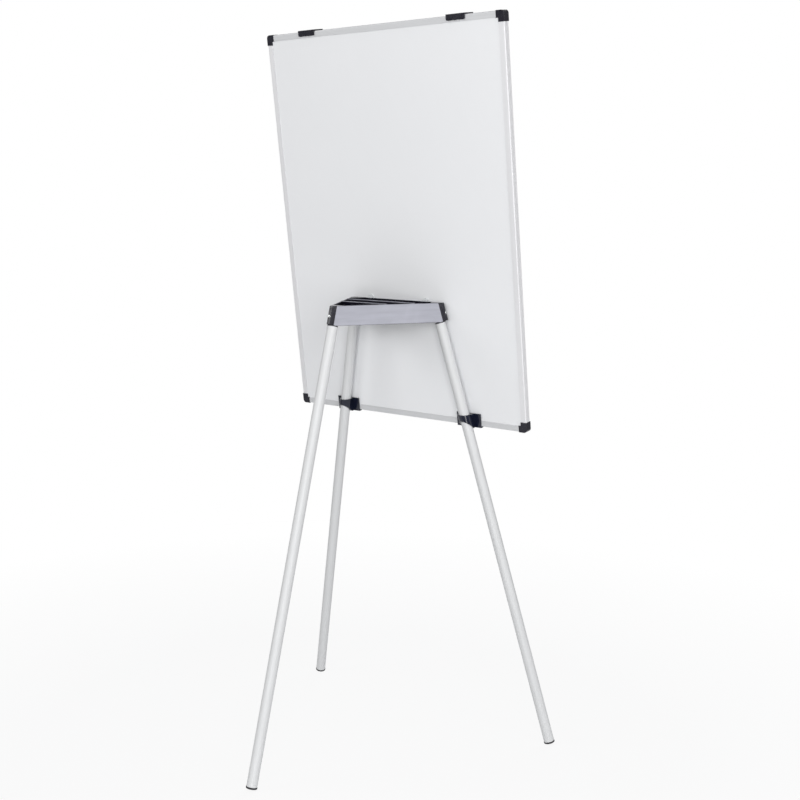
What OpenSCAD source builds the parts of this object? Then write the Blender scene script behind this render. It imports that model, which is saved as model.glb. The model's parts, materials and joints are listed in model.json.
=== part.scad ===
// Tripod flipchart easel.
// +Z is up, the writing side of the board faces -Y, and the rear leg stands towards +Y.
// The origin lies on the floor, under the middle of the easel's bounding box.

/* [Stand] */
// Height of the underside of the head above the floor
stand_h = 1032; // [900:2:1150]
// Angle between each leg and the vertical, in degrees
leg_splay = 15.3; // [13:0.1:17]
// Distance from the stand's centre line to each leg's axis, at the underside of the head
head_r = 154.5; // [145:0.5:165]

/* [Leg tubes] */
// Outer diameter of a leg tube
tube_d = 25; // [24:0.5:26]
// Wall of a leg tube
tube_wall = 1.2; // [1:0.1:1.6]

/* [Feet] */
// Radius of the dome that a foot stands on
foot_dome_r = 40; // [20:1:48]
// How far the rim of a foot stands out past its tube
foot_overhang = 0.7; // [0.3:0.1:1.2]
// Height of the rim of a foot
foot_rim_h = 4; // [1:0.5:5]
// Length of a foot's plug inside the tube
foot_plug_l = 30; // [20:1:50]

/* [Leg knuckles] */
// Length of a knuckle's plug inside the tube
knuckle_plug_l = 42; // [25:1:60]
// Thickness of the collar between the tube and the head
collar_h = 2; // [1:0.5:4]
// Width of the tongue, along the hinge pin
tongue_w = 14; // [12:0.5:15]
// Depth of the tongue, towards the middle of the stand
tongue_d = 16; // [14:0.5:17]
// Height of the hinge pin above the underside of the head, along the leg
pin_up = 33; // [30:0.5:33]
// Diameter of a hinge pin
pin_d = 6; // [5:0.5:7]
// Length of a hinge pin
pin_l = 22.4; // [20:0.2:23]

/* [Stop screws] */
// Height of a stop screw above the underside of the head, along the leg
stop_up = 18.5; // [16:0.5:23]
// Shank diameter of a stop screw
stop_d = 5; // [4:0.5:6]
// Head diameter of a stop screw
stop_head_d = 7.6; // [6.5:0.1:8.5]
// Head height of a stop screw
stop_head_h = 2.2; // [1.5:0.1:3]
// Depth of the seat that takes the head of a stop screw
stop_seat = 2; // [1:0.1:3]

/* [Head] */
// Height of the head
head_h = 45.6; // [44:0.2:52]
// Wall of the head
head_wall = 3; // [2.5:0.1:4]
// Radius of the head's three corners
nose_r = 5; // [4:0.5:6]
// Depth of the cheeks behind each leg's axis
cheek_d = 9; // [7:0.5:12]
// Number of cross webs
web_n = 2; // [1:1:2]
// Distance between cross webs, counted from the front leg axes
web_pitch = 61; // [50:1:64]
// Thickness of a cross web
web_t = 3; // [2:0.5:4]
// Height of the rounded web tops above the head's rim
web_rise = 1.5; // [1:0.1:3]

/* [Head side panels] */
// Thickness of a side panel
panel_t = 1.2; // [0.8:0.1:1.4]
// How far a side panel stays inside the head's top and underside
panel_rim = 0.3; // [0:0.1:3]
// How far a side panel runs past the leg axes
panel_over = 2; // [0:0.5:4]

/* [Head base plate] */
// Thickness of the base plate
base_t = 2.5; // [2:0.5:4]
// Height of the base plate's lower face above the underside of the head
base_inset = 2.2; // [2:0.1:5]
// Distance from each leg's axis to the base plate's cut corner
base_corner = 27; // [25:1:40]
// Diameter of the screw bosses under the webs
boss_d = 9; // [8:0.5:12]
// Height of the screw bosses
boss_h = 20; // [16:1:26]
// Distance of the outer bosses from the middle, on the front web
boss_x = 68; // [50:1:75]
// Distance of the bosses from the middle, on the rear web
boss_rear_x = 24; // [16:1:30]
// Shank diameter of a base screw
base_screw_d = 3.5; // [3:0.1:4]
// Length of a base screw's shank
base_screw_l = 14; // [10:1:16]
// Head diameter of a base screw
base_screw_head_d = 7; // [6:0.5:8]
// Head height of a base screw
base_screw_head_h = 1.8; // [1:0.1:2]

/* [Board] */
// Width of the board over its rails
board_w = 700; // [600:5:800]
// Height of the board over its rails
board_h = 940; // [800:5:1100]
// Thickness of the board over its rails
board_t = 16.5; // [15:0.5:22]
// Distance from the underside of the head down to the board's lower edge, along the board
board_drop = 252; // [200:1:320]
// Gap between the leg tubes and the back of the board
board_gap = 2.5; // [2:0.1:4]
// Thickness of the writing sheet
front_sheet_t = 0.5; // [0.4:0.1:1]
// Thickness of the back sheet
back_sheet_t = 0.4; // [0.3:0.1:1]
// Size of a core cell
core_cell = 116; // [90:1:140]
// Thickness of the core's cell walls
core_web = 4; // [2:0.5:8]

/* [Rails] */
// Width of a rail's flanges
rail_w = 14.5; // [12:0.5:18]
// Wall of a rail
rail_wall = 1.3; // [1:0.1:1.6]
// Radius of a rail's outer edges
rail_r = 2.5; // [1.5:0.5:4]
// Width of the two grooves along a rail
groove_w = 1.6; // [1:0.1:2]
// Depth of the grooves along a rail
groove_depth = 0.4; // [0.2:0.1:0.6]
// Play between the panel's edge and a rail's web
panel_play = 0.7; // [0.5:0.1:1]

/* [Corner caps] */
// Wall of a corner cap outside the rails
cap_wall = 0.8; // [0.6:0.1:1.5]
// Length of a corner cap's arm along the top or bottom rail
cap_arm_x = 21; // [19:0.5:30]
// Length of a corner cap's arm along a side rail
cap_arm_z = 24; // [19:0.5:30]
// Outer radius of a corner cap
cap_r = 8; // [4:0.5:10]

/* [Hangers] */
// Distance of each hanger from the middle of the board
hanger_x = 85; // [60:1:95]
// Width of a hanger
hanger_w = 14; // [12:0.5:18]
// Height of a hanger's round top above the head's front wall
hanger_rise = 7; // [6:0.5:12]
// Height of a hanger's lower edge above the underside of the head
hanger_low = 7; // [5:0.5:12]
// Thickness of the bar that lies over the head's wall
hanger_bar = 2.5; // [2:0.1:4]
// Thickness of a hanger's lip
hanger_lip_t = 2.2; // [1.8:0.1:3]
// Length of a hanger's lip below the bar
hanger_lip_l = 10; // [7:0.5:14]
// Wall of the pocket that takes a hanger's lip
pocket_wall = 2; // [1.5:0.1:3]
// Shank diameter of a hanger rivet
rivet_d = 3.2; // [2.8:0.1:4]
// Head diameter of a hanger rivet
rivet_head_d = 6.4; // [5:0.2:7]
// Length of a hanger rivet behind the back sheet
rivet_tail = 2; // [1:0.5:4]
// Distance of the lower rivet from a hanger's lower edge
rivet_edge = 6; // [4.5:0.5:8]
// Distance between a hanger's two rivets
rivet_pitch = 16; // [12:1:20]

/* [Board clips] */
// Width of a clip's plate
clip_w = 69; // [50:1:80]
// Height of a clip's plate above the board's lower edge
clip_h = 31; // [24:0.5:36]
// Thickness of the ledge under the board
ledge_t = 2.5; // [2:0.1:4]
// Gap between the ledge and the board's lower edge
ledge_gap = 0.6; // [0.3:0.1:0.8]
// How far the ledge reaches under the board
ledge_reach = 7; // [5:0.5:14]
// Wall of the clip's ring
clip_wall = 3; // [2:0.1:4]
// Height of the clip's strap behind the tube, from the clip's top down
strap_h = 14; // [8:0.5:18]

/* [Pad hooks] */
// Distance from the board's left side to the middle of the left hook
hook_left_in = 126; // [60:1:170]
// Distance from the board's right side to the middle of the right hook
hook_right_in = 132; // [60:1:170]
// Width of a hook
hook_w = 50; // [30:1:60]
// Thickness of a hook's walls
hook_t = 2.8; // [2:0.1:4]
// Length of the flap behind the top rail
hook_back_l = 10.5; // [8:0.5:14]
// Radius of the flap's lower corners
hook_flap_r = 3; // [1:0.5:5]
// Reach of a hook in front of the board
hook_reach = 12.5; // [8:0.5:16]
// Width of the front tongue
hook_tongue_w = 30; // [26:1:36]
// Distance from the board's top edge to the peg's axis
peg_drop = 36; // [32:0.5:50]
// Diameter of a peg
peg_d = 6; // [5:0.5:8]
// Length of a peg up to its round end
peg_l = 20; // [14:1:30]
// Diameter of the boss that takes the clamp stud
hook_boss_d = 13; // [11:0.5:15]
// Height of the boss that takes the clamp stud
hook_boss_h = 3; // [2:0.5:5]

/* [Clamp knobs] */
// Diameter of a clamp knob
knob_d = 20; // [16:0.5:20]
// Height of a clamp knob
knob_h = 13; // [10:0.5:18]
// Number of finger grooves
knob_grooves = 8; // [5:1:10]
// Diameter of a finger groove
knob_groove_d = 4; // [3:0.5:5]
// Height of the hub under the knob
knob_hub_h = 2; // [1:0.5:4]
// Diameter of a clamp stud
stud_d = 6; // [5:0.5:7]

/* [Pen tray] */
// Length of the tray
tray_l = 440; // [300:5:500]
// Depth of the tray in front of the board
tray_depth = 55; // [40:1:70]
// Wall of the tray
tray_t = 1.5; // [1.2:0.1:2.5]
// Height of the tray's front lip and back flange
tray_h = 12; // [11:0.5:14]
// Height of the tray's underside above the board's lower edge
tray_up = 1; // [0.5:0.1:1.5]
// Height of the two ridges on the tray's floor
ridge_h = 1.5; // [1:0.1:3]
// Thickness of an end cap
tray_end_t = 3; // [2:0.5:5]
// How far an end cap stands out round the tray
tray_end_rim = 0.8; // [0.3:0.1:1.5]
// Height of the tray screws above the tray's underside
tray_screw_up = 7; // [6:0.5:9]
// Number of tray screws
tray_screw_n = 3; // [2:1:5]
// Distance between tray screws
tray_screw_pitch = 90; // [60:1:100]
// Shank diameter of a tray screw
tray_screw_d = 3; // [2.5:0.1:3.5]
// Head diameter of a tray screw
tray_screw_head_d = 6; // [5:0.2:6.5]
// Head height of a tray screw
tray_screw_head_h = 1.6; // [1:0.1:2]

/* [Fits] */
// Gap between pieces that move past each other
move_gap = 0.3; // [0.2:0.05:0.4]
// Radial clearance of a pin in its bore
pin_clear = 0.05; // [0.02:0.01:0.1]
// Clearance of a piece in its seat
seat_clear = 0.1; // [0.05:0.01:0.15]

/* [Hidden] */
$fn = 64;

BLACK = "#26252b";
GREY_PANEL = "#b7bac3";
SILVER = "#c9cbcd";
STEEL = "#d4d5d7";
RUBBER = "#1b1b1d";
WHITE = "#f4f5f6";
BACK_GREY = "#e2e3e6";

// Compass of the three legs, in degrees, counted from +X towards +Y
REAR = 90;
LEFT = 210;
RIGHT = 330;
third = 120;
// A length that reaches through anything it cuts, and a small overrun for clean cuts
far = 400;
over = 1;

// Tripod: the two front leg axes lie in a plane that leans back by side_lean.
inner_r = head_r * sin(30);
side_half = head_r * cos(30);
side_lean = atan(tan(leg_splay) * sin(30));
axis_slope = tan(leg_splay) * cos(30) * cos(side_lean);
axis_lean = atan(axis_slope);
tube_r = tube_d / 2;
// The head's faces are flush with the tubes.
face = tube_r;
// Angle between a corner's outward direction and the normals of the two faces beside it
nose_turn = acos(cos(side_lean) * sin(30) * cos(leg_splay) + sin(side_lean) * sin(leg_splay));
nose_c = (face - nose_r) / cos(nose_turn);
nose_x = nose_c + nose_r;
cheek_y = (face + cheek_d * cos(nose_turn)) / sin(nose_turn);

// Feet: the dome's centre is on the leg's axis, one dome radius above the floor.
rim_r = tube_r + foot_overhang;
rim_off = sqrt(pow(foot_dome_r, 2) - pow(rim_r, 2));
foot_s = -(stand_h - foot_dome_r) / cos(leg_splay);
tube_foot_s = foot_s - rim_off + foot_rim_h;
tube_head_s = -move_gap - collar_h;
rim_ring_r = head_r + (stand_h - foot_dome_r) * tan(leg_splay) + rim_off * sin(leg_splay);
rear_reach = rim_ring_r + rim_r * cos(leg_splay);
front_reach = rim_ring_r * sin(30) + rim_r * sqrt(1 - pow(sin(leg_splay) * sin(30), 2));
// Moves the stand's centre line so that the bounding box is centred on the origin
origin_y = (rear_reach - front_reach) / 2;

// Sockets in the head's corners
slot_w = tongue_w + 2 * move_gap;
slot_x = tongue_d / 2 + move_gap;
slot_top = pin_up + tongue_d / 2 + move_gap;

// Head: rim of the front wall, seen square to the wall
rim_z = (head_h - (face - head_wall) * sin(side_lean)) / cos(side_lean);
panel_z0 = -face * tan(side_lean) + panel_rim;
panel_z1 = panel_z0 + head_h / cos(side_lean) - 2 * panel_rim;
base_z0 = stand_h + base_inset;
base_z1 = base_z0 + base_t;
base_r = inner_r + (face - head_wall) / cos(side_lean)
    - (base_inset + base_t) * tan(side_lean) - move_gap;
base_cut_r = head_r - base_corner;
base_cut_t = (base_r - base_cut_r * sin(30)) / cos(30);
BOSSES = [[boss_x, 1], [-boss_x, 1], [boss_rear_x, 2], [-boss_rear_x, 2]];

// Board frame: back face of the board
board_y = tube_r + board_gap;
panel_w = board_w - 2 * (rail_wall + panel_play);
panel_h = board_h - 2 * (rail_wall + panel_play);
panel_y0 = -rail_wall - seat_clear;
panel_y1 = -board_t + rail_wall + seat_clear;
// The rails stop where they meet, under the corner caps.
rail_back = rail_w + seat_clear;
core_nx = round(panel_w / core_cell);
core_nz = round(panel_h / core_cell);
core_px = (panel_w - core_web) / core_nx;
core_pz = (panel_h - core_web) / core_nz;

// Hangers
hanger_t = board_gap - move_gap;
hanger_z = rim_z + move_gap;
hanger_lip_y = -face + head_wall + move_gap;
hanger_top = rim_z + hanger_rise;
pocket_w = hanger_w + 2 * move_gap;
pocket_y = hanger_lip_y + hanger_lip_t + move_gap;
pocket_z = hanger_z - hanger_lip_l - move_gap;
rivet_l = hanger_t - panel_y0 + back_sheet_t + rivet_tail;

// Clips
clip_bore_r = tube_r + move_gap;
clip_ring_r = clip_bore_r + clip_wall;
clip_y = -board_y + move_gap;
clip_z = clip_h / 2 - board_drop;
clip_x = side_half - clip_z * axis_slope;
clip_low = -clip_h / 2 - ledge_gap - ledge_t;
clip_high = clip_h / 2;

// Hooks
hook_z = board_h + move_gap;
hook_left_x = hook_left_in - board_w / 2;
hook_right_x = board_w / 2 - hook_right_in;
hook_front_y = -board_t - hook_reach;
stud_z = board_h - rail_w / 2;
peg_z = board_h - peg_drop;
stud_r = stud_d / 2;
stud_tip_y = -board_t - move_gap;
knob_y = hook_front_y - hook_t - hook_boss_h - move_gap;
tray_floor_z = tray_up + tray_t;
tray_flange_y = -board_t;
tray_screw_z = tray_up + tray_screw_up;

// ---------- frames ----------

module stand() translate([0, -origin_y, 0]) children();

// Leg frame: +Z up the leg's axis, +X outward, origin level with the head's underside
module at_leg(compass)
    stand()
        rotate([0, 0, compass])
            translate([head_r, 0, stand_h])
                rotate([0, -leg_splay, 0])
                    children();

// Side frame: XZ is the plane through two leg axes, +Y points into the head
module at_side(turn)
    stand()
        rotate([0, 0, turn])
            translate([0, -inner_r, stand_h])
                rotate([-side_lean, 0, 0])
                    children();

// Board frame: origin at the middle of the board's lower edge, on its back face
module at_board()
    at_side(0)
        translate([0, -board_y, -board_drop])
            children();

// Extrudes a profile drawn as (Y, Z) along X, about the middle
module along_x(length)
    rotate([90, 0, 90])
        translate([0, 0, -length / 2])
            linear_extrude(length)
                children();

// Extrudes an outline drawn as (X, Z) along Y, from y0 to y1
module along_y(y0, y1)
    translate([0, y1, 0])
        rotate([90, 0, 0])
            linear_extrude(y1 - y0)
                children();

// Cylinder along Y from y0 to y1
module rod_y(r, y0, y1)
    translate([0, y1, 0])
        rotate([90, 0, 0])
            cylinder(h = y1 - y0, r = r);

// ---------- head ----------

module head_slab()
    translate([-far, -far, stand_h])
        cube([2 * far, 2 * far, head_h]);

module head_wall_slab()
    translate([-side_half, -face, -far / 2])
        cube([2 * side_half, head_wall, far]);

// Outline of a corner, seen along the leg
module corner_outline() {
    tangent = [nose_c + nose_r * cos(nose_turn), nose_r * sin(nose_turn)];
    translate([nose_c, 0])
        circle(nose_r);
    polygon([
        tangent, [-cheek_d, cheek_y], [-cheek_d, -cheek_y], [tangent[0], -tangent[1]]
    ]);
}

module hanger_pocket()
    translate([-pocket_w / 2 - pocket_wall, -face + head_wall / 2, pocket_z - pocket_wall])
        cube([
            pocket_w + 2 * pocket_wall,
            pocket_y + pocket_wall + face - head_wall / 2,
            rim_z - pocket_z + 2 * pocket_wall
        ]);

module pocket_slot()
    translate([-pocket_w / 2, -face + head_wall, pocket_z])
        cube([pocket_w, pocket_y + face - head_wall, far]);

// Space inside the middle of the three walls, where the webs end
module head_core()
    intersection_for(k = [0 : 2])
        at_side(third * k)
            translate([-far, -face + head_wall / 2, -far])
                cube([2 * far, far, 2 * far]);

module web(k)
    stand()
        translate([0, -inner_r + web_pitch * k, 0]) {
            translate([-far / 2, -web_t / 2, base_z1])
                cube([far, web_t, stand_h + head_h + web_rise - web_t / 2 - base_z1]);
            translate([-far / 2, 0, stand_h + head_h + web_rise - web_t / 2])
                rotate([0, 90, 0])
                    cylinder(h = far, d = web_t);
        }

module at_boss(b)
    stand()
        translate([b[0], -inner_r + web_pitch * min(b[1], web_n), base_z1])
            children();

// Outline of a side panel between two heights, its ends parallel to the leg axes
module panel_outline(z0, z1, grow) {
    low = side_half + panel_over - z0 * axis_slope + grow;
    high = side_half + panel_over - z1 * axis_slope + grow;
    polygon([[-low, z0], [low, z0], [high, z1], [-high, z1]]);
}

// Room for the end of a leg, below the level of the head
module leg_room()
    translate([0, 0, -far])
        cylinder(h = far, r = face + move_gap);

module socket() {
    translate([-far / 4, -slot_w / 2, -over])
        cube([far / 4 + slot_x, slot_w, slot_top + over]);
    leg_room();
    translate([0, 0, pin_up])
        rotate([90, 90, 0])
            cylinder(h = far / 8, r = pin_d / 2 + pin_clear, center = true);
    translate([0, 0, stop_up])
        rotate([0, 90, 0])
            cylinder(h = far / 4, d = stop_d + 2 * seat_clear);
    translate([nose_x - stop_seat, 0, stop_up])
        rotate([0, 90, 0])
            cylinder(h = far / 4, d = stop_head_d + 2 * seat_clear);
}

module head_frame()
    color(BLACK)
        difference() {
            union() {
                intersection() {
                    union() {
                        for (k = [0 : 2])
                            at_side(third * k)
                                head_wall_slab();
                        for (compass = [REAR, LEFT, RIGHT])
                            at_leg(compass)
                                linear_extrude(far / 4)
                                    corner_outline();
                        for (side = [-1, 1])
                            at_side(0)
                                translate([side * hanger_x, 0, 0])
                                    hanger_pocket();
                    }
                    head_slab();
                }
                intersection() {
                    head_core();
                    union() {
                        for (k = [1 : web_n])
                            web(k);
                        for (b = BOSSES)
                            at_boss(b)
                                cylinder(h = boss_h, d = boss_d);
                    }
                }
            }
            for (compass = [REAR, LEFT, RIGHT])
                at_leg(compass)
                    socket();
            for (k = [0 : 2])
                at_side(third * k)
                    along_y(-face - over, -face + panel_t)
                        panel_outline(-head_h, 2 * head_h, seat_clear);
            for (side = [-1, 1])
                at_side(0)
                    translate([side * hanger_x, 0, 0])
                        pocket_slot();
            for (b = BOSSES)
                at_boss(b)
                    translate([0, 0, -over])
                        cylinder(h = base_screw_l + over, d = base_screw_d);
        }

module side_panel(turn)
    color(GREY_PANEL)
        difference() {
            at_side(turn)
                along_y(-face, -face + panel_t)
                    panel_outline(panel_z0, panel_z1, 0);
            for (compass = [REAR, LEFT, RIGHT])
                at_leg(compass)
                    leg_room();
        }

module side_panel_front() side_panel(0);
module side_panel_right() side_panel(third);
module side_panel_left() side_panel(2 * third);

module base_plate()
    color(BLACK)
        difference() {
            stand()
                translate([0, 0, base_z0])
                    linear_extrude(base_t)
                        polygon([
                            for (compass = [REAR, LEFT, RIGHT], t = [-base_cut_t, base_cut_t])
                                [
                                    base_cut_r * cos(compass) - t * sin(compass),
                                    base_cut_r * sin(compass) + t * cos(compass)
                                ]
                        ]);
            for (b = BOSSES)
                at_boss(b)
                    translate([0, 0, -base_t - over])
                        cylinder(h = base_t + 2 * over, d = base_screw_d + 2 * seat_clear);
        }

module base_screws()
    color(STEEL)
        for (b = BOSSES)
            at_boss(b) {
                translate([0, 0, -base_t])
                    cylinder(h = base_screw_l + base_t - over, d = base_screw_d);
                translate([0, 0, -base_t - base_screw_head_h])
                    cylinder(h = base_screw_head_h, d = base_screw_head_d);
            }

module hinge_pins()
    color(STEEL)
        for (compass = [REAR, LEFT, RIGHT])
            at_leg(compass)
                translate([0, 0, pin_up])
                    rod_y(pin_d / 2, -pin_l / 2, pin_l / 2);

module stop_screws()
    color(STEEL)
        for (compass = [REAR, LEFT, RIGHT])
            at_leg(compass)
                translate([0, 0, stop_up])
                    rotate([0, 90, 0]) {
                        translate([0, 0, slot_x])
                            cylinder(h = nose_x - stop_seat - slot_x + over, d = stop_d);
                        translate([0, 0, nose_x - stop_seat])
                            dome(stop_head_d / 2, stop_head_h);
                    }

// Low dome of radius r and height h, standing on z = 0
module dome(r, h) {
    ball = (r * r + h * h) / (2 * h);
    intersection() {
        translate([0, 0, h - ball])
            sphere(ball);
        cylinder(h = h, r = r);
    }
}

// ---------- legs ----------

module leg_tube(compass)
    color(SILVER)
        at_leg(compass)
            translate([0, 0, tube_foot_s])
                difference() {
                    cylinder(h = tube_head_s - tube_foot_s, r = tube_r);
                    translate([0, 0, -over])
                        cylinder(h = tube_head_s - tube_foot_s + 2 * over, r = tube_r - tube_wall);
                }

module knuckle(compass)
    color(BLACK)
        at_leg(compass)
            difference() {
                union() {
                    translate([0, 0, tube_head_s - knuckle_plug_l])
                        cylinder(h = knuckle_plug_l, r = tube_r - tube_wall - seat_clear);
                    translate([0, 0, tube_head_s])
                        cylinder(h = collar_h, r = tube_r);
                    translate([-tongue_d / 2, -tongue_w / 2, -move_gap])
                        cube([tongue_d, tongue_w, pin_up + move_gap]);
                    translate([0, 0, pin_up])
                        rod_y(tongue_d / 2, -tongue_w / 2, tongue_w / 2);
                }
                translate([0, 0, pin_up])
                    rod_y(pin_d / 2 + pin_clear, -tongue_w, tongue_w);
            }

module foot(compass)
    color(RUBBER)
        at_leg(compass)
            translate([0, 0, foot_s]) {
                intersection() {
                    sphere(foot_dome_r);
                    translate([0, 0, -foot_dome_r - over])
                        cylinder(h = foot_dome_r + 2 * over - rim_off, r = rim_r);
                }
                translate([0, 0, -rim_off])
                    cylinder(h = foot_rim_h, r = rim_r);
                translate([0, 0, -rim_off])
                    cylinder(h = foot_rim_h + foot_plug_l, r = tube_r - tube_wall - seat_clear);
            }

module leg_tube_rear() leg_tube(REAR);
module leg_tube_left() leg_tube(LEFT);
module leg_tube_right() leg_tube(RIGHT);
module knuckle_rear() knuckle(REAR);
module knuckle_left() knuckle(LEFT);
module knuckle_right() knuckle(RIGHT);
module foot_rear() foot(REAR);
module foot_left() foot(LEFT);
module foot_right() foot(RIGHT);

// ---------- board panel ----------

module panel_sheet(y0, y1)
    translate([-panel_w / 2, y0, (board_h - panel_h) / 2])
        cube([panel_w, y1 - y0, panel_h]);

module writing_sheet()
    color(WHITE)
        at_board()
            panel_sheet(panel_y1, panel_y1 + front_sheet_t);

module panel_core()
    color(SILVER)
        at_board()
            difference() {
                panel_sheet(panel_y1 + front_sheet_t, panel_y0 - back_sheet_t);
                for (i = [0 : core_nx - 1], j = [0 : core_nz - 1])
                    translate([
                        -panel_w / 2 + core_web + i * core_px,
                        -board_t,
                        (board_h - panel_h) / 2 + core_web + j * core_pz
                    ])
                        cube([core_px - core_web, board_t, core_pz - core_web]);
                rivet_holes();
            }

module back_sheet()
    color(BACK_GREY)
        at_board()
            difference() {
                panel_sheet(panel_y0 - back_sheet_t, panel_y0);
                rivet_holes();
            }

// ---------- rails and corner caps ----------

// Section of the top rail as (Y, Z), outer edge at z = 0
module rail_section()
    difference() {
        union() {
            translate([-board_t, -rail_w])
                square([board_t, rail_w - rail_r]);
            translate([-board_t + rail_r, -rail_w])
                square([board_t - 2 * rail_r, rail_w]);
            for (y = [-rail_r, -board_t + rail_r])
                translate([y, -rail_r])
                    circle(rail_r);
        }
        translate([-board_t + rail_wall, -rail_w - over])
            square([board_t - 2 * rail_wall, rail_w + over - rail_wall]);
        for (y = [-board_t / 3, -2 * board_t / 3])
            translate([y - groove_w / 2, -groove_depth])
                square([groove_w, groove_depth + over]);
    }

module rail(length) along_x(length) rail_section();

module rail_top()
    color(SILVER)
        at_board()
            translate([0, 0, board_h])
                rail(board_w - 2 * rail_back);

module rail_bottom()
    color(SILVER)
        at_board()
            difference() {
                mirror([0, 0, 1])
                    rail(board_w - 2 * rail_back);
                tray_screw_holes();
            }

module rail_left()
    color(SILVER)
        at_board()
            translate([-board_w / 2, 0, board_h / 2])
                rotate([0, -90, 0])
                    rail(board_h - 2 * rail_back);

module rail_right()
    color(SILVER)
        at_board()
            translate([board_w / 2, 0, board_h / 2])
                rotate([0, 90, 0])
                    rail(board_h - 2 * rail_back);

// Cap for the top right corner, with the board's corner at the origin
module corner_cap_body() {
    arm = rail_w + cap_wall;
    play = rail_wall + panel_play - seat_clear;
    difference() {
        along_y(-board_t - cap_wall, cap_wall) {
            translate([-cap_arm_x, -arm])
                square([cap_arm_x + cap_wall - cap_r, arm + cap_wall]);
            translate([-arm, -cap_arm_z])
                square([arm + cap_wall, cap_arm_z + cap_wall - cap_r]);
            translate([cap_wall - cap_r, cap_wall - cap_r])
                circle(cap_r);
        }
        translate([-far, -board_t - seat_clear, -rail_w - seat_clear])
            cube([far - rail_back + seat_clear, board_t + 2 * seat_clear, rail_w + 2 * seat_clear]);
        translate([-rail_w - seat_clear, -board_t - seat_clear, -far])
            cube([rail_w + 2 * seat_clear, board_t + 2 * seat_clear, far - rail_back + seat_clear]);
        translate([-far - play, -board_t + rail_wall, -far - play])
            cube([far, board_t - 2 * rail_wall, far]);
    }
}

module corner_cap(side, top)
    color(BLACK)
        at_board()
            translate([side * board_w / 2, 0, top ? board_h : 0])
                mirror([side < 0 ? 1 : 0, 0, 0])
                    mirror([0, 0, top ? 0 : 1])
                        corner_cap_body();

module corner_cap_top_left() corner_cap(-1, true);
module corner_cap_top_right() corner_cap(1, true);
module corner_cap_bottom_left() corner_cap(-1, false);
module corner_cap_bottom_right() corner_cap(1, false);

// ---------- hangers ----------

module hanger(side)
    color(WHITE)
        difference() {
            at_side(0)
                translate([side * hanger_x, 0, 0]) {
                    along_y(-board_y + panel_y0, -board_y + hanger_t) {
                        translate([-hanger_w / 2, hanger_low])
                            square([hanger_w, hanger_top - hanger_w / 2 - hanger_low]);
                        translate([0, hanger_top - hanger_w / 2])
                            circle(hanger_w / 2);
                    }
                    translate([-hanger_w / 2, -board_y, hanger_z])
                        cube([hanger_w, hanger_lip_y + hanger_lip_t + board_y, hanger_bar]);
                    translate([-hanger_w / 2, hanger_lip_y, hanger_z - hanger_lip_l])
                        cube([hanger_w, hanger_lip_t, hanger_lip_l + hanger_bar]);
                }
            at_board()
                rivet_holes();
        }

// Places of the rivets in the board frame, as (X, Z)
RIVETS = [
    for (side = [-1, 1], k = [0, 1])
        [side * hanger_x, board_drop + hanger_low + rivet_edge + k * rivet_pitch]
];

module rivet_holes()
    for (place = RIVETS)
        translate([place[0], 0, place[1]]) {
            rod_y(rivet_d / 2 + seat_clear, -rivet_l - seat_clear, hanger_t + over);
            translate([0, hanger_t, 0])
                rotate([90, 0, 0])
                    cylinder(h = hanger_t * 0.6 + seat_clear,
                        r1 = rivet_head_d / 2 + seat_clear, r2 = rivet_d / 2 + seat_clear);
        }

module hanger_rivets()
    color(STEEL)
        at_board()
            for (place = RIVETS)
                translate([place[0], 0, place[1]]) {
                    rod_y(rivet_d / 2, hanger_t - rivet_l, hanger_t);
                    translate([0, hanger_t, 0])
                        rotate([90, 0, 0])
                            cylinder(h = hanger_t * 0.6, r1 = rivet_head_d / 2, r2 = rivet_d / 2);
                }

module hanger_left() hanger(-1);
module hanger_right() hanger(1);

// ---------- board clips ----------

// Clip for the right leg, with the middle of its plate on the leg's axis
module clip_body()
    difference() {
        union() {
            translate([-clip_w / 2, clip_y, clip_low])
                cube([clip_w, -clip_bore_r - clip_y, clip_high - clip_low]);
            translate([-clip_w / 2, -board_y - ledge_reach, clip_low])
                cube([clip_w, board_y + ledge_reach - clip_bore_r, ledge_t]);
            intersection() {
                union() {
                    rotate([0, -axis_lean, 0])
                        cylinder(h = far / 4, r = clip_ring_r, center = true);
                    translate([-clip_ring_r, clip_y, -far / 8])
                        cube([2 * clip_ring_r, -clip_y, far / 4]);
                }
                along_x(far / 4)
                    polygon([
                        [clip_y, clip_low], [clip_y, clip_high], [clip_ring_r, clip_high],
                        [clip_ring_r, clip_high - strap_h], [-tube_r / 2, clip_low]
                    ]);
            }
        }
        rotate([0, -axis_lean, 0])
            cylinder(h = far, r = clip_bore_r, center = true);
    }

module board_clip(side)
    color(BLACK)
        at_side(0)
            mirror([side < 0 ? 1 : 0, 0, 0])
                translate([clip_x, 0, clip_z])
                    clip_body();

module board_clip_left() board_clip(-1);
module board_clip_right() board_clip(1);

// ---------- pad hooks ----------

// Outline of the flap behind the top rail, with round lower corners
module hook_flap() {
    low = board_h - hook_back_l;
    translate([-hook_w / 2, low + hook_flap_r])
        square([hook_w, hook_z + hook_t - low - hook_flap_r]);
    translate([hook_flap_r - hook_w / 2, low])
        square([hook_w - 2 * hook_flap_r, hook_flap_r + over]);
    for (side = [-1, 1])
        translate([side * (hook_w / 2 - hook_flap_r), low + hook_flap_r])
            circle(hook_flap_r);
}

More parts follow.
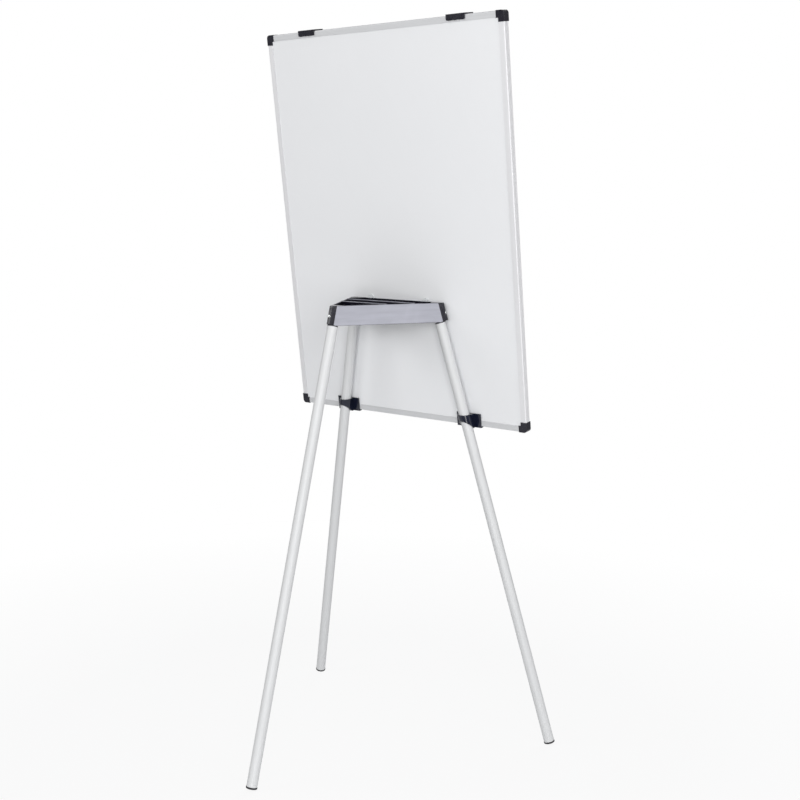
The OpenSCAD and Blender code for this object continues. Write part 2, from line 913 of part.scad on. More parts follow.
module hook(middle)
    color(BLACK)
        at_board()
            translate([middle, 0, 0])
                difference() {
                    union() {
                        along_x(hook_w)
                            polygon([
                                [move_gap + hook_t, hook_z],
                                [move_gap + hook_t, hook_z + hook_t],
                                [hook_front_y - hook_t, hook_z + hook_t],
                                [hook_front_y - hook_t, board_h - rail_w],
                                [hook_front_y, board_h - rail_w],
                                [hook_front_y, hook_z]
                            ]);
                        along_y(move_gap, move_gap + hook_t)
                            hook_flap();
                        along_y(hook_front_y - hook_t, hook_front_y) {
                            translate([-hook_tongue_w / 2, peg_z])
                                square([hook_tongue_w, peg_drop]);
                            translate([0, peg_z])
                                circle(hook_tongue_w / 2);
                        }
                        translate([0, 0, stud_z])
                            rod_y(hook_boss_d / 2, hook_front_y - hook_t - hook_boss_h, hook_front_y);
                        translate([0, 0, peg_z]) {
                            rod_y(peg_d / 2, hook_front_y - hook_t - peg_l, hook_front_y);
                            translate([0, hook_front_y - hook_t - peg_l, 0])
                                sphere(peg_d / 2);
                        }
                    }
                    translate([0, 0, stud_z])
                        rod_y(stud_r + pin_clear, -far, -board_t);
                }

module hook_stud(middle)
    color(STEEL)
        at_board()
            translate([middle, 0, stud_z])
                rod_y(stud_r, knob_y - knob_h * 0.8, stud_tip_y);

module hook_knob(middle)
    color(BLACK)
        at_board()
            translate([middle, 0, stud_z])
                difference() {
                    union() {
                        rod_y(hook_boss_d / 2, knob_y - knob_hub_h, knob_y);
                        rod_y(knob_d / 2, knob_y - knob_h, knob_y - knob_hub_h);
                    }
                    for (k = [1 : knob_grooves])
                        rotate([0, k * 360 / knob_grooves, 0])
                            translate([knob_d / 2, 0, 0])
                                rod_y(knob_groove_d / 2, knob_y - knob_h - over, knob_y - knob_hub_h);
                    rod_y(stud_r, knob_y - knob_h * 0.8, knob_y + over);
                }

module hook_left() hook(hook_left_x);
module hook_right() hook(hook_right_x);
module hook_stud_left() hook_stud(hook_left_x);
module hook_stud_right() hook_stud(hook_right_x);
module hook_knob_left() hook_knob(hook_left_x);
module hook_knob_right() hook_knob(hook_right_x);

// ---------- pen tray ----------

TRAY_SCREWS = [
    for (k = [0 : tray_screw_n - 1])
        (k - (tray_screw_n - 1) / 2) * tray_screw_pitch
];

module tray_screw_holes()
    for (x = TRAY_SCREWS)
        translate([x, 0, tray_screw_z])
            rod_y(tray_screw_d / 2 + seat_clear, -board_t - 2 * tray_t, -board_t + rail_wall + over);

module pen_tray()
    color(SILVER)
        at_board()
            difference() {
                along_x(tray_l) {
                    translate([tray_flange_y - tray_depth, tray_up])
                        square([tray_depth, tray_t]);
                    for (y = [tray_flange_y - tray_depth, tray_flange_y - tray_t])
                        translate([y, tray_up])
                            square([tray_t, tray_h]);
                    for (k = [1, 2])
                        translate([tray_flange_y - tray_depth * k / 3, tray_floor_z - tray_t / 2])
                            square([tray_t, ridge_h + tray_t / 2]);
                }
                tray_screw_holes();
            }

module tray_end(side)
    color(BLACK)
        at_board()
            translate([side * (tray_l + tray_end_t) / 2, 0, 0])
                along_x(tray_end_t)
                    translate([tray_flange_y - tray_depth - tray_end_rim, tray_up])
                        square([tray_depth + tray_end_rim, tray_h + tray_end_rim]);

module tray_screws()
    color(STEEL)
        at_board()
            for (x = TRAY_SCREWS)
                translate([x, 0, tray_screw_z]) {
                    rod_y(tray_screw_d / 2, tray_flange_y - tray_t, tray_flange_y + rail_wall);
                    translate([0, tray_flange_y - tray_t, 0])
                        rotate([90, 0, 0])
                            dome(tray_screw_head_d / 2, tray_screw_head_h);
                }

module tray_end_left() tray_end(-1);
module tray_end_right() tray_end(1);

head_frame();
side_panel_front();
side_panel_left();
side_panel_right();
base_plate();
base_screws();
hinge_pins();
stop_screws();
leg_tube_rear();
leg_tube_left();
leg_tube_right();
knuckle_rear();
knuckle_left();
knuckle_right();
foot_rear();
foot_left();
foot_right();
writing_sheet();
panel_core();
back_sheet();
rail_top();
rail_bottom();
rail_left();
rail_right();
corner_cap_top_left();
corner_cap_top_right();
corner_cap_bottom_left();
corner_cap_bottom_right();
hanger_left();
hanger_right();
hanger_rivets();
pen_tray();
tray_end_left();
tray_end_right();
tray_screws();
hook_left();
hook_right();
hook_stud_left();
hook_stud_right();
hook_knob_left();
hook_knob_right();
board_clip_left();
board_clip_right();
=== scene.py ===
"""Tripod flipchart easel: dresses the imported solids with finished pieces, finishes, lights and a camera.

Meshes and places are in metres, in the frame of the solids: +Z up, the writing side of the board
towards -Y, the rear leg towards +Y. The sub-assemblies hold their own sizes in millimetres, and MM
turns them into metres.
"""

import json
import logging
import math
from contextlib import contextmanager
from dataclasses import dataclass, field
from enum import Enum
from functools import cached_property
from typing import Any, Dict, Iterator, List, Optional, Sequence, Tuple, Union

import bmesh
import bpy
from bpy.types import Material, Mesh, Node, NodeSocket, Object, World
from mathutils import Matrix, Vector

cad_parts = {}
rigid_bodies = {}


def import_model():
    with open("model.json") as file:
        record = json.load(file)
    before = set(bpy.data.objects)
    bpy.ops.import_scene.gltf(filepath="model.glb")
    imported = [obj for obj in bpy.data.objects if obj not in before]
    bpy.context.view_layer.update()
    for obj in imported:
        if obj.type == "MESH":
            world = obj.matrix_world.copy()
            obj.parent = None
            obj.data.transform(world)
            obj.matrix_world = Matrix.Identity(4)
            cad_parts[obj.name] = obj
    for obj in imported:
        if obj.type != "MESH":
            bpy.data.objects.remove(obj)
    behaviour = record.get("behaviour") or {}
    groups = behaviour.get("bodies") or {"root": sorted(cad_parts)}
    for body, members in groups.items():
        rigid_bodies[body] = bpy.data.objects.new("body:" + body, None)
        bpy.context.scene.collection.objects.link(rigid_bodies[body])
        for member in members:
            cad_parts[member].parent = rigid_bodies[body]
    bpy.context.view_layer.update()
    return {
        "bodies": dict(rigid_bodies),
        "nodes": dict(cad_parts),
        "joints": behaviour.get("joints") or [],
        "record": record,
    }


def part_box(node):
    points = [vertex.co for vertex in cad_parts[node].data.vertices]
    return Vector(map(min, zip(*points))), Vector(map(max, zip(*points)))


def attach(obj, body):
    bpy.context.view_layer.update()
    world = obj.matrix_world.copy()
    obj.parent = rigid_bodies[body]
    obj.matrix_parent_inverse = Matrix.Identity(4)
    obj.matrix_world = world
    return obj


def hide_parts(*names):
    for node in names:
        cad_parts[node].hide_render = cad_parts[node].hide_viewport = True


LOG = logging.getLogger("easel")
MM = 0.001
QUARTER_TURN = math.pi / 2
WHITE = (1.0, 1.0, 1.0, 1.0)
# Points closer than this are one point: on a turned mesh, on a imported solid, and along a sliver.
WELD, SOLID_WELD, SLIVER = 2e-6, 3e-6, 1e-7
# Faces that turn by less than this are one face, and edges that turn by more are rounded.
FLAT_ANGLE, BEVEL_ANGLE = math.radians(0.4), math.radians(32)
# The range that most of a noise lies in.
MIDDLE = (0.3, 0.7)
Settings = Optional[Dict[str, Any]]
Point = Sequence[float]
Profile = List[Tuple[float, ...]]
Colour = Tuple[float, float, float, float]


class Named(Enum):
    """Options whose name, in small letters, is part of the names of pieces."""

    @property
    def word(self) -> str:
        """The option's name in small letters."""
        return self.name.lower()


class Compass(Named):
    """The three legs, by their direction from the middle of the stand, in degrees from +X."""

    REAR = 90
    LEFT = 210
    RIGHT = 330


class Side(Named):
    """The two mirrored sides, by the sign of X."""

    LEFT = -1
    RIGHT = 1


def srgb(code: str) -> Colour:
    """Linear colour of a #rrggbb code.

    Args:
        code: six hexadecimal digits after a hash sign.

    Returns:
        Red, green, blue and alpha, linear.
    """
    channels = [int(code[i : i + 2], 16) / 255 for i in (1, 3, 5)]
    linear = [c / 12.92 if c <= 0.04045 else ((c + 0.055) / 1.055) ** 2.4 for c in channels]
    return (linear[0], linear[1], linear[2], 1.0)


def shade(colour: Colour, factor: float, lift: float = 0.0) -> Colour:
    """The colour times a factor, then lifted by a constant."""
    return tuple(channel * factor + lift for channel in colour[:3]) + (1.0,)


def add_object(name: str, data: Any) -> Object:
    """Adds an object to the scene.

    Args:
        name: its name.
        data: its mesh, lamp or camera.

    Returns:
        The object.
    """
    made = bpy.data.objects.new(name, data)
    bpy.context.scene.collection.objects.link(made)
    return made


def face(thing: Object, direction: Vector) -> None:
    """Turns a lamp or the camera to look in a direction."""
    thing.rotation_mode = "QUATERNION"
    thing.rotation_quaternion = direction.to_track_quat("-Z", "Y")


@contextmanager
def edited(mesh: Mesh) -> Iterator[bmesh.types.BMesh]:
    """Opens a mesh for editing and writes it back.

    Args:
        mesh: the mesh.

    Yields:
        The mesh as it can be edited.
    """
    work = bmesh.new()
    work.from_mesh(mesh)
    yield work
    work.to_mesh(mesh)
    work.free()


def settled(name: str, holder: Object) -> Mesh:
    """Turns an object with modifiers into a plain mesh, and removes the object.

    Args:
        name: the new mesh's name.
        holder: the object.

    Returns:
        The plain mesh.
    """
    bpy.context.view_layer.update()
    graph = bpy.context.evaluated_depsgraph_get()
    mesh = bpy.data.meshes.new_from_object(holder.evaluated_get(graph), depsgraph=graph)
    mesh.name = name
    holder.modifiers.clear()
    bpy.data.objects.remove(holder)
    return mesh


# ---------------------------------------------------------------- node trees


class Sock:
    """A socket that arithmetic can be written on; each operator adds its Math node."""

    def __init__(self, owner: "NodeTree", socket: NodeSocket) -> None:
        """Wraps a socket of a tree."""
        self.owner = owner
        self.socket = socket

    def __add__(self, other: "Value") -> "Sock":
        """Sum of two values."""
        return self.owner.math("ADD", self, other)

    def __sub__(self, other: "Value") -> "Sock":
        """This value less the other."""
        return self.owner.math("SUBTRACT", self, other)

    def __rsub__(self, other: "Value") -> "Sock":
        """The other value less this one."""
        return self.owner.math("SUBTRACT", other, self)

    def __mul__(self, other: "Value") -> "Sock":
        """Product of two values."""
        return self.owner.math("MULTIPLY", self, other)

    def __truediv__(self, other: "Value") -> "Sock":
        """This value divided by the other."""
        return self.owner.math("DIVIDE", self, other)

    def __rtruediv__(self, other: "Value") -> "Sock":
        """The other value divided by this one."""
        return self.owner.math("DIVIDE", other, self)

    __radd__ = __add__
    __rmul__ = __mul__

    def over(self, low: float, high: float) -> "Sock":
        """This value stretched so that low becomes 0 and high becomes 1, and held there."""
        return self.owner.math("MULTIPLY_ADD", self, 1 / (high - low), -low / (high - low), clamp=True)


Value = Union[Sock, float, Sequence[float]]


class NodeTree:
    """A node tree with one way to add nodes and join them."""

    tree: bpy.types.NodeTree

    def node(self, kind: str, settings: Settings = None, **values: Any) -> Node:
        """Adds a node.

        Args:
            kind: the node's type name.
            settings: its attributes, set before its sockets.
            values: socket values or links; an underscore stands for a space, and i0, i1 and so on
                stand for the sockets by their number.

        Returns:
            The new node.
        """
        made = self.tree.nodes.new(kind)
        for key, value in (settings or {}).items():
            setattr(made, key, value)
        for key, value in values.items():
            index = int(key[1:]) if key[0] == "i" and key[1:].isdigit() else key.replace("_", " ")
            if isinstance(value, Sock):
                self.tree.links.new(value.socket, made.inputs[index])
            else:
                made.inputs[index].default_value = value
        return made

    def out(self, kind: str, output: Union[str, int], settings: Settings = None, **values: Any) -> Sock:
        """Adds a node and returns one of its outputs, by name or number."""
        return Sock(self, self.node(kind, settings, **values).outputs[output])

    def math(self, operation: str, *values: Value, clamp: bool = False) -> Sock:
        """Adds a Math node; clamp holds its result between 0 and 1."""
        sockets = {f"i{i}": value for i, value in enumerate(values)}
        return self.out("ShaderNodeMath", "Value", {"operation": operation, "use_clamp": clamp}, **sockets)


class Graph(NodeTree):
    """The node tree of a material or a world, with the textures that the finishes share."""

    def __init__(self, owner: Union[str, World]) -> None:
        """Starts an empty tree.

        Args:
            owner: the name of a new material, or a world that the tree is for.
        """
        self.owner = bpy.data.materials.new(owner) if isinstance(owner, str) else owner
        self.owner.use_nodes = True
        self.tree = self.owner.node_tree
        self.tree.nodes.clear()

    @cached_property
    def position(self) -> Sock:
        """The object's own coordinates."""
        return self.out("ShaderNodeTexCoord", "Object")

    @cached_property
    def height(self) -> Sock:
        """The height above the floor."""
        return self.out("ShaderNodeSeparateXYZ", "Z", i0=self.position)

    def ray(self, kind: str) -> Sock:
        """1 for rays of a kind such as Camera, 0 for the others."""
        return self.out("ShaderNodeLightPath", f"Is {kind} Ray")

    def measure(self, operation: str, *other: Point) -> Sock:
        """A number that Vector Math takes off the position, such as its length or its distance to a point."""
        points = {f"i{i}": tuple(point) for i, point in enumerate(other, start=1)}
        return self.out("ShaderNodeVectorMath", "Value", {"operation": operation}, i0=self.position, **points)

    def blend(self, factor: Value, first: Value, second: Value) -> Sock:
        """Mixes two colours; a factor of 0 gives the first, 1 the second."""
        return self.out("ShaderNodeMix", 2, {"data_type": "RGBA"}, i0=factor, i6=first, i7=second)

    def noise(
        self, scale: float, detail: float = 2.0, rough: float = 0.5, place: Optional[Sock] = None
    ) -> Sock:
        """Soft noise around a half.

        Args:
            scale: how many features fit in a metre.
            detail: octaves of finer noise.
            rough: strength of the finer noise.
            place: where to read it; the object's own position if left out.

        Returns:
            The noise.
        """
        sockets = {"Vector": place or self.position, "Scale": scale, "Detail": detail, "Roughness": rough}
        return self.out("ShaderNodeTexNoise", "Fac", **sockets)

    def stretched(self, angles: Point, stretch: Point) -> Sock:
        """Position turned by angles about X, Y and Z, then stretched along the turned axes."""
        turned = self.out("ShaderNodeMapping", "Vector", i0=self.position, i2=tuple(angles))
        return self.out("ShaderNodeMapping", "Vector", i0=turned, i3=tuple(stretch))

    def streaks(self, turn: Matrix, across: float, along: float, detail: float, rough: float = 0.5) -> Sock:
        """Noise drawn out along one direction.

        Args:
            turn: a frame whose Z is the direction that the streaks run along.
            across: how many features fit in a metre across the streaks.
            along: how many fit in a metre along them.
            detail: octaves of finer noise.
            rough: strength of the finer noise.

        Returns:
            A value around a half.
        """
        angles = turn.to_3x3().inverted().to_euler()
        return self.noise(1.0, detail, rough, self.stretched(angles, (across, across, along)))

    def specks(self, scale: float, size: float) -> Sock:
        """Small round specks, 1 inside; size is their radius as a share of their cell."""
        far = self.out("ShaderNodeTexVoronoi", "Distance", Vector=self.position, Scale=scale)
        return 1 - far.over(size * 0.6, size)

    def scratches(self, scale: float, share: float, turn: float) -> Sock:
        """Fine short scratches, one way, in patches.

        Args:
            scale: how many lines fit in a metre across the scratches.
            share: how many of the lines show, from 0 to 1.
            turn: angle of the scratches about X, Y and Z alike, in radians.

        Returns:
            1 in a scratch, 0 elsewhere.
        """
        place = self.stretched((turn, turn, turn), (1.0, 1.0, 0.02))
        lines = self.noise(scale, 1.0, place=place).over(0.72 - share * 0.1, 0.76 - share * 0.1)
        patches = self.noise(14.0, 1.0).over(0.5, 0.66)
        return lines * patches

    def finish(
        self, colour: Value, roughness: Value, relief: Sock, depth: float, **constants: Value
    ) -> Material:
        """Closes the graph with one surface shader.

        Args:
            colour: base colour.
            roughness: how matt the surface is.
            relief: its fine shape, from 0 to 1.
            depth: how deep that relief is, in millimetres.
            constants: the shader's other sockets.

        Returns:
            The material.
        """
        normal = self.out("ShaderNodeBump", "Normal", Height=relief, Distance=depth * MM, Strength=1.0)
        surface = {"Base_Color": colour, "Roughness": roughness, "Normal": normal, **constants}
        return self.close(self.out("ShaderNodeBsdfPrincipled", "BSDF", **surface))

    def close(self, shader: Sock) -> Material:
        """Joins a shader to the material's output and returns the material."""
        self.node("ShaderNodeOutputMaterial", Surface=shader)
        return self.owner


class GeoTree(NodeTree):
    """A Geometry Nodes tree that takes named inputs and gives one mesh with one material."""

    def __init__(self, name: str) -> None:
        """Starts a tree with a geometry input and output, and builds it.

        Args:
            name: the tree's name.
        """
        self.tree = bpy.data.node_groups.new(name, "GeometryNodeTree")
        for way in ("INPUT", "OUTPUT"):
            self.tree.interface.new_socket("Geometry", in_out=way, socket_type="NodeSocketGeometry")
        self.inputs = self.node("NodeGroupInput")
        self.given = Sock(self, self.inputs.outputs["Geometry"])
        self.build()

    def build(self) -> None:
        """Adds the tree's own nodes."""
        raise NotImplementedError

    def input(self, name: str, kind: str) -> Sock:
        """Adds a named input of a kind such as Float, and returns the socket that carries it."""
        self.tree.interface.new_socket(name, in_out="INPUT", socket_type=f"NodeSocket{kind}")
        return Sock(self, self.inputs.outputs[name])

    def close(self, geometry: Sock) -> None:
        """Ends the tree in real geometry with its material.

        Args:
            geometry: the socket that carries the result.
        """
        real = self.out("GeometryNodeRealizeInstances", 0, Geometry=geometry)
        material = self.input("Material", "Material")
        dressed = self.out("GeometryNodeSetMaterial", 0, Geometry=real, Material=material)
        self.node("NodeGroupOutput", i0=dressed)

    def run(self, name: str, base: Mesh, **inputs: Any) -> Mesh:
        """Runs the tree on a mesh.

        Args:
            name: name of the new mesh.
            base: the mesh that goes in.
            inputs: values of the named inputs; an underscore stands for a space.

        Returns:
            A plain mesh.
        """
        holder = add_object(name + "_base", base)
        modifier = holder.modifiers.new("tree", "NODES")
        modifier.node_group = self.tree
        sockets = [item for item in self.tree.interface.items_tree if item.in_out == "INPUT"]
        keys = {item.name.replace(" ", "_"): item.identifier for item in sockets}
        for key, value in inputs.items():
            modifier[keys[key]] = value
        return settled(name, holder)


class LatheTree(GeoTree):
    """Turns a profile about Z. A point's Y is its weight: how deep the lobes cut in at that point."""

    def build(self) -> None:
        """Adds a grid, one row for each point of the profile, and wraps it round the axis."""
        steps = self.input("Steps", "Int")
        lobes = self.input("Lobes", "Int")
        cut = self.input("Lobe Depth", "Float")
        rows = self.out("GeometryNodeAttributeDomainSize", "Point Count", i0=self.given)
        columns = steps + 1
        grid = self.out("GeometryNodeMeshGrid", "Mesh", Vertices_X=rows, Vertices_Y=columns)
        index = self.out("GeometryNodeInputIndex", 0)
        row = self.math("FLOOR", (index + 0.5) / columns)
        column = index - row * columns
        place = self.out("GeometryNodeInputPosition", 0)
        vector = {"data_type": "FLOAT_VECTOR", "domain": "POINT"}
        point = self.out("GeometryNodeSampleIndex", 0, vector, Geometry=self.given, Value=place, Index=row)
        parts = self.node("ShaderNodeSeparateXYZ", i0=point)
        full, weight, height = (Sock(self, parts.outputs[axis]) for axis in "XYZ")
        angle = column * (math.tau / steps)
        wave = self.math("COSINE", angle * lobes)
        radius = full - (wave * -0.5 + 0.5) * weight * cut
        x, y = (radius * self.math(operation, angle) for operation in ("COSINE", "SINE"))
        turned = self.out("ShaderNodeCombineXYZ", 0, X=x, Y=y, Z=height)
        shaped = self.out("GeometryNodeSetPosition", 0, Geometry=grid, Position=turned)
        self.close(self.out("GeometryNodeMergeByDistance", 0, Geometry=shaped, Distance=WELD))


class ScatterTree(GeoTree):
    """Puts a copy of one piece on each point, turned to the point's aim and spun by chance."""

    def build(self) -> None:
        """Adds the copies."""
        piece = self.out("GeometryNodeObjectInfo", "Geometry", Object=self.input("Piece", "Object"))
        aim = self.out("GeometryNodeInputNamedAttribute", 0, {"data_type": "FLOAT_VECTOR"}, Name="aim")
        facing = self.out("FunctionNodeAlignRotationToVector", 0, {"axis": "Z"}, Vector=aim)
        spin = self.out("FunctionNodeRandomValue", 1, {"data_type": "FLOAT"}, i2=0.0, i3=math.tau, Seed=7)
        about = self.out("FunctionNodeAxisAngleToRotation", 0, Axis=(0.0, 0.0, 1.0), Angle=spin)
        local = {"rotation_space": "LOCAL"}
        turned = self.out("FunctionNodeRotateRotation", 0, local, Rotation=facing, Rotate_By=about)
        spots = {"Points": self.given, "Instance": piece, "Rotation": turned}
        self.close(self.out("GeometryNodeInstanceOnPoints", 0, **spots))


class ThreadTree(GeoTree):
    """A screw thread: a small ridge swept along a helix about Z, round a core."""

    ridge_share = 0.42

    def build(self) -> None:
        """Adds the helix, its ridge and the core."""
        radius = self.input("Core Radius", "Float")
        pitch = self.input("Pitch", "Float")
        length = self.input("Length", "Float")
        ends = {"Start_Radius": radius, "End_Radius": radius, "Height": length}
        helix = self.out("GeometryNodeCurveSpiral", 0, Resolution=24, Rotations=length / pitch, **ends)
        ridge = self.out("GeometryNodeCurvePrimitiveCircle", 0, Resolution=4, Radius=pitch * self.ridge_share)
        thread = self.out("GeometryNodeCurveToMesh", 0, Curve=helix, Profile_Curve=ridge, Fill_Caps=True)
        core = self.out("GeometryNodeMeshCylinder", "Mesh", Vertices=32, Radius=radius, Depth=length)
        lift = self.out("ShaderNodeCombineXYZ", 0, Z=length * 0.5)
        raised = self.out("GeometryNodeTransform", 0, Geometry=core, Translation=lift)
        joined = self.node("GeometryNodeJoinGeometry")
        for part in (thread, raised):
            self.tree.links.new(part.socket, joined.inputs[0])
        self.close(Sock(self, joined.outputs[0]))


# ---------------------------------------------------------------- finishes


@dataclass(frozen=True)
class Finish:
    """What every finish has: its material's name, its main colour and the name of its slot."""

    name: str
    colour: str
    slot: str = ""

    @property
    def base(self) -> Colour:
        """The main colour, linear."""
        return srgb(self.colour)

    def make(self) -> Material:
        """Builds the material."""
        raise NotImplementedError


@dataclass(frozen=True)
class Moulded(Finish):
    """Moulded plastic: fine eroded texture, faint flow marks, scratches and patches of dust."""

    slot: str = "black_plastic"
    gloss: float = 0.3
    grain: float = 0.03
    dust: float = 0.03
    coat: float = 0.0
    specular: float = 0.3

    def make(self) -> Material:
        """Builds the material.

        Returns:
            The material.
        """
        graph = Graph(self.name)
        grain = graph.noise(scale=900.0, detail=3.0)
        flow = graph.noise(scale=9.0, detail=3.0)
        film = graph.noise(scale=55.0, detail=5.0, rough=0.7).over(0.45, 0.75)
        marks = graph.scratches(scale=700.0, share=0.5, turn=0.7)
        pale = shade(self.base, 1.8, lift=0.004)
        colour = graph.blend(flow.over(*MIDDLE) * 0.5, self.base, pale)
        colour = graph.blend(film * self.dust + marks * 0.04, colour, srgb("#9a9aa0"))
        # Subclasses paint a highlight here; plain moulding keeps its colour.
        colour = self.rubbed(graph, colour)
        roughness = self.gloss + flow * 0.08 + film * 0.1 - grain * 0.05 + marks * 0.1
        constants = {"Specular_IOR_Level": self.specular, "Coat_Weight": self.coat, "Coat_Roughness": 0.1}
        return graph.finish(colour, roughness, relief=grain, depth=self.grain, **constants)

    def rubbed(self, graph: Graph, colour: Sock) -> Sock:
        """The colour with the painted highlight on its upper rim; this plastic has none, so the colour stays
        as it is.
        """
        return colour


@dataclass(frozen=True)
class HandledRim(Moulded):
    """Moulded plastic with a painted highlight along its upper rim, though not out on its corners: a paler
    colour that stands in for the glints on the rim and web tops.
    """

    rim: Point = (0.0, 0.0, 0.0)
    rise: float = 0.4 * MM
    reach: float = 112 * MM
    fade: float = 8 * MM
    worn: str = "#84858f"

    def rubbed(self, graph: Graph, colour: Sock) -> Sock:
        """Paints a highlight: lightens what lies above the rim's height and near its middle.

        Args:
            graph: the material's graph.
            colour: the colour before the painted highlight.

        Returns:
            The colour after it.
        """
        near = 1 - graph.measure("DISTANCE", self.rim).over(self.reach, self.reach + self.fade)
        above = graph.height.over(self.rim[2], self.rim[2] + self.rise)
        uneven = graph.noise(scale=38.0, detail=4.0, rough=0.7).over(*MIDDLE) * 0.5 + 0.5
        # Painted highlight: paler colour on the rim and web tops in place of their glints.
        return graph.blend(above * near * uneven, colour, srgb(self.worn))


@dataclass(frozen=True)
class Drawn(Finish):
    """Drawn or extruded aluminium: fine lines along the bar, soft cloudiness and a few handling marks."""

    slot: str = "silver"
    turn: Matrix = field(default_factory=Matrix)
    metal: float = 0.45
    gloss: float = 0.38

    def make(self) -> Material:
        """Builds the material.

        Returns:
            The material.
        """
        graph = Graph(self.name)
        fine = graph.streaks(self.turn, across=1500.0, along=6.0, detail=4.0)
        broad = graph.streaks(self.turn, across=160.0, along=1.5, detail=2.0)
        cloud = graph.noise(scale=5.0, detail=3.0)
        marks = graph.scratches(scale=900.0, share=0.4, turn=1.1)
        dark = shade(self.base, 0.86)
        colour = graph.blend(fine.over(0.35, 0.75) * 0.35 + broad.over(*MIDDLE) * 0.22, self.base, dark)
        colour = graph.blend(cloud.over(0.45, 0.8) * 0.12, colour, dark)
        colour = graph.blend(marks * 0.25, colour, srgb("#f4f4f4"))
        roughness = self.gloss + fine * 0.14 + cloud * 0.08
        return graph.finish(colour, roughness, relief=fine + broad * 0.5, depth=0.012, Metallic=self.metal)


@dataclass(frozen=True)
class StreakedPlate(Finish):
    """Grey satin plate: cloudy streaks along it and painted shade along its upper and lower edges."""

    slot: str = "grey_panel"
    frame: Matrix = field(default_factory=Matrix)
    low: float = 0.0
    high: float = 0.0
    seam: float = 1.1 * MM

    def make(self) -> Material:
        """Builds the material.

        Returns:
            The material.
        """
        graph = Graph(self.name)
        turn = self.frame.to_3x3()
        level = turn @ Matrix.Rotation(QUARTER_TURN, 3, "Y")
        fine = graph.streaks(level, across=1400.0, along=12.0, detail=4.0)
        broad = graph.streaks(level, across=120.0, along=9.0, detail=3.0)
        cloud = graph.noise(scale=26.0, detail=3.0)
        up = turn @ Vector((0.0, 0.0, 1.0))
        height = graph.measure("DOT_PRODUCT", up) - up.dot(self.frame.translation)
        # Painted shade: a dark band along the plate's upper and lower edges, where shade falls at the joins
        # with the moulding.
        shaded_edges = height.over(self.low + self.seam, self.low) + height.over(self.high - self.seam, self.high)
        dark, light = shade(self.base, 0.8), shade(self.base, 1.16)
        colour = graph.blend(broad.over(0.35, 0.7) * 0.55 + fine.over(0.4, 0.8) * 0.2, self.base, dark)
        colour = graph.blend(cloud.over(0.45, 0.75) * 0.5, colour, light)
        colour = graph.blend(shaded_edges * 0.8, colour, srgb("#24242c"))
        roughness = 0.4 + fine * 0.12 + cloud * 0.06 + shaded_edges * 0.2
        return graph.finish(colour, roughness, relief=fine + broad * 0.5, depth=0.012)


@dataclass(frozen=True)
class Painted(Finish):
    """Powder-coated or enamelled sheet: orange peel, faint wiping marks and small specks."""

    gloss: float = 0.45
    peel: float = 0.02
    smear: float = 0.06
    coat: float = 0.0

    def make(self) -> Material:
        """Builds the material.

        Returns:
            The material.
        """
        graph = Graph(self.name)
        peel = graph.noise(scale=420.0, detail=2.0)
        cloud = graph.noise(scale=3.2, detail=4.0)
        wiped = graph.streaks(Matrix.Rotation(0.5, 3, "Y"), across=34.0, along=3.0, detail=3.0)
        specks = graph.specks(scale=70.0, size=0.05) * graph.noise(scale=20.0).over(0.5, 0.6)
        marks = graph.scratches(scale=520.0, share=0.3, turn=0.4)
        dull = shade(self.base, 0.93)
        smears = wiped.over(0.45, 0.8) * self.smear
        colour = graph.blend(cloud.over(0.35, 0.75) * 0.28 + smears, self.base, dull)
        colour = graph.blend(specks * 0.18 + marks * 0.05, colour, srgb("#8d8f95"))
        roughness = self.gloss + wiped.over(0.4, 0.8) * 0.12 + peel * 0.04
        constants = {"Coat_Weight": self.coat, "Coat_Roughness": 0.08}
        return graph.finish(colour, roughness, relief=peel, depth=self.peel, **constants)


@dataclass(frozen=True)
class Plated(Finish):
    """Bright plated steel with a slight drift of its tone, fine turning lines and a few stains."""

    colour: str = "#e4e6e8"
    slot: str = "steel"
    gloss: float = 0.2

    def make(self) -> Material:
        """Builds the material.

        Returns:
            The material.
        """
        graph = Graph(self.name)
        drift = graph.noise(scale=60.0, detail=3.0)
        fine = graph.noise(scale=2200.0, detail=2.0)
        stain = graph.noise(scale=240.0, detail=4.0, rough=0.7).over(0.55, 0.8)
        colour = graph.blend(drift.over(*MIDDLE), self.base, srgb("#cacbcb"))
        colour = graph.blend(stain * 0.35, colour, srgb("#8f9093"))
        roughness = self.gloss + fine * 0.12 + stain * 0.2
        return graph.finish(colour, roughness, relief=fine, depth=0.01, Metallic=1.0)


@dataclass(frozen=True)
class Rubber(Finish):
    """Matt rubber with a pitted skin and pale scuffs low down."""

    colour: str = "#1d1d21"
    slot: str = "rubber"
    scuff_top: float = 6 * MM

    def make(self) -> Material:
        """Builds the material.

        Returns:
            The material.
        """
        graph = Graph(self.name)
        pits = graph.specks(scale=900.0, size=0.35)
        fine = graph.noise(scale=1500.0, detail=2.0)
        bloom = graph.noise(scale=70.0, detail=3.0).over(*MIDDLE) * 0.4
        low = 1 - graph.height.over(0.0, self.scuff_top)
        scuffs = low * graph.noise(scale=260.0, detail=4.0).over(0.35, 0.65)
        colour = graph.blend(bloom, self.base, srgb("#38383c"))
        colour = graph.blend(scuffs * 0.3, colour, srgb("#77777a"))
        roughness = 0.62 + fine * 0.2 + scuffs * 0.12
        return graph.finish(colour, roughness, relief=fine - pits * 0.4, depth=0.06)


@dataclass(frozen=True)
class Nylon(Finish):
    """Milky natural nylon with soft flow marks."""

    colour: str = "#cfd1d3"
    slot: str = "nylon"

    def make(self) -> Material:
        """Builds the material.

        Returns:
            The material.
        """
        graph = Graph(self.name)
        flow = graph.noise(scale=70.0, detail=4.0)
        fine = graph.noise(scale=1300.0, detail=2.0)
        colour = graph.blend(flow.over(*MIDDLE) * 0.5, self.base, srgb("#c3c6c8"))
        constants = {"Coat_Weight": 0.1, "Coat_Roughness": 0.2}
        return graph.finish(colour, 0.34 + flow * 0.16, relief=fine, depth=0.02, **constants)


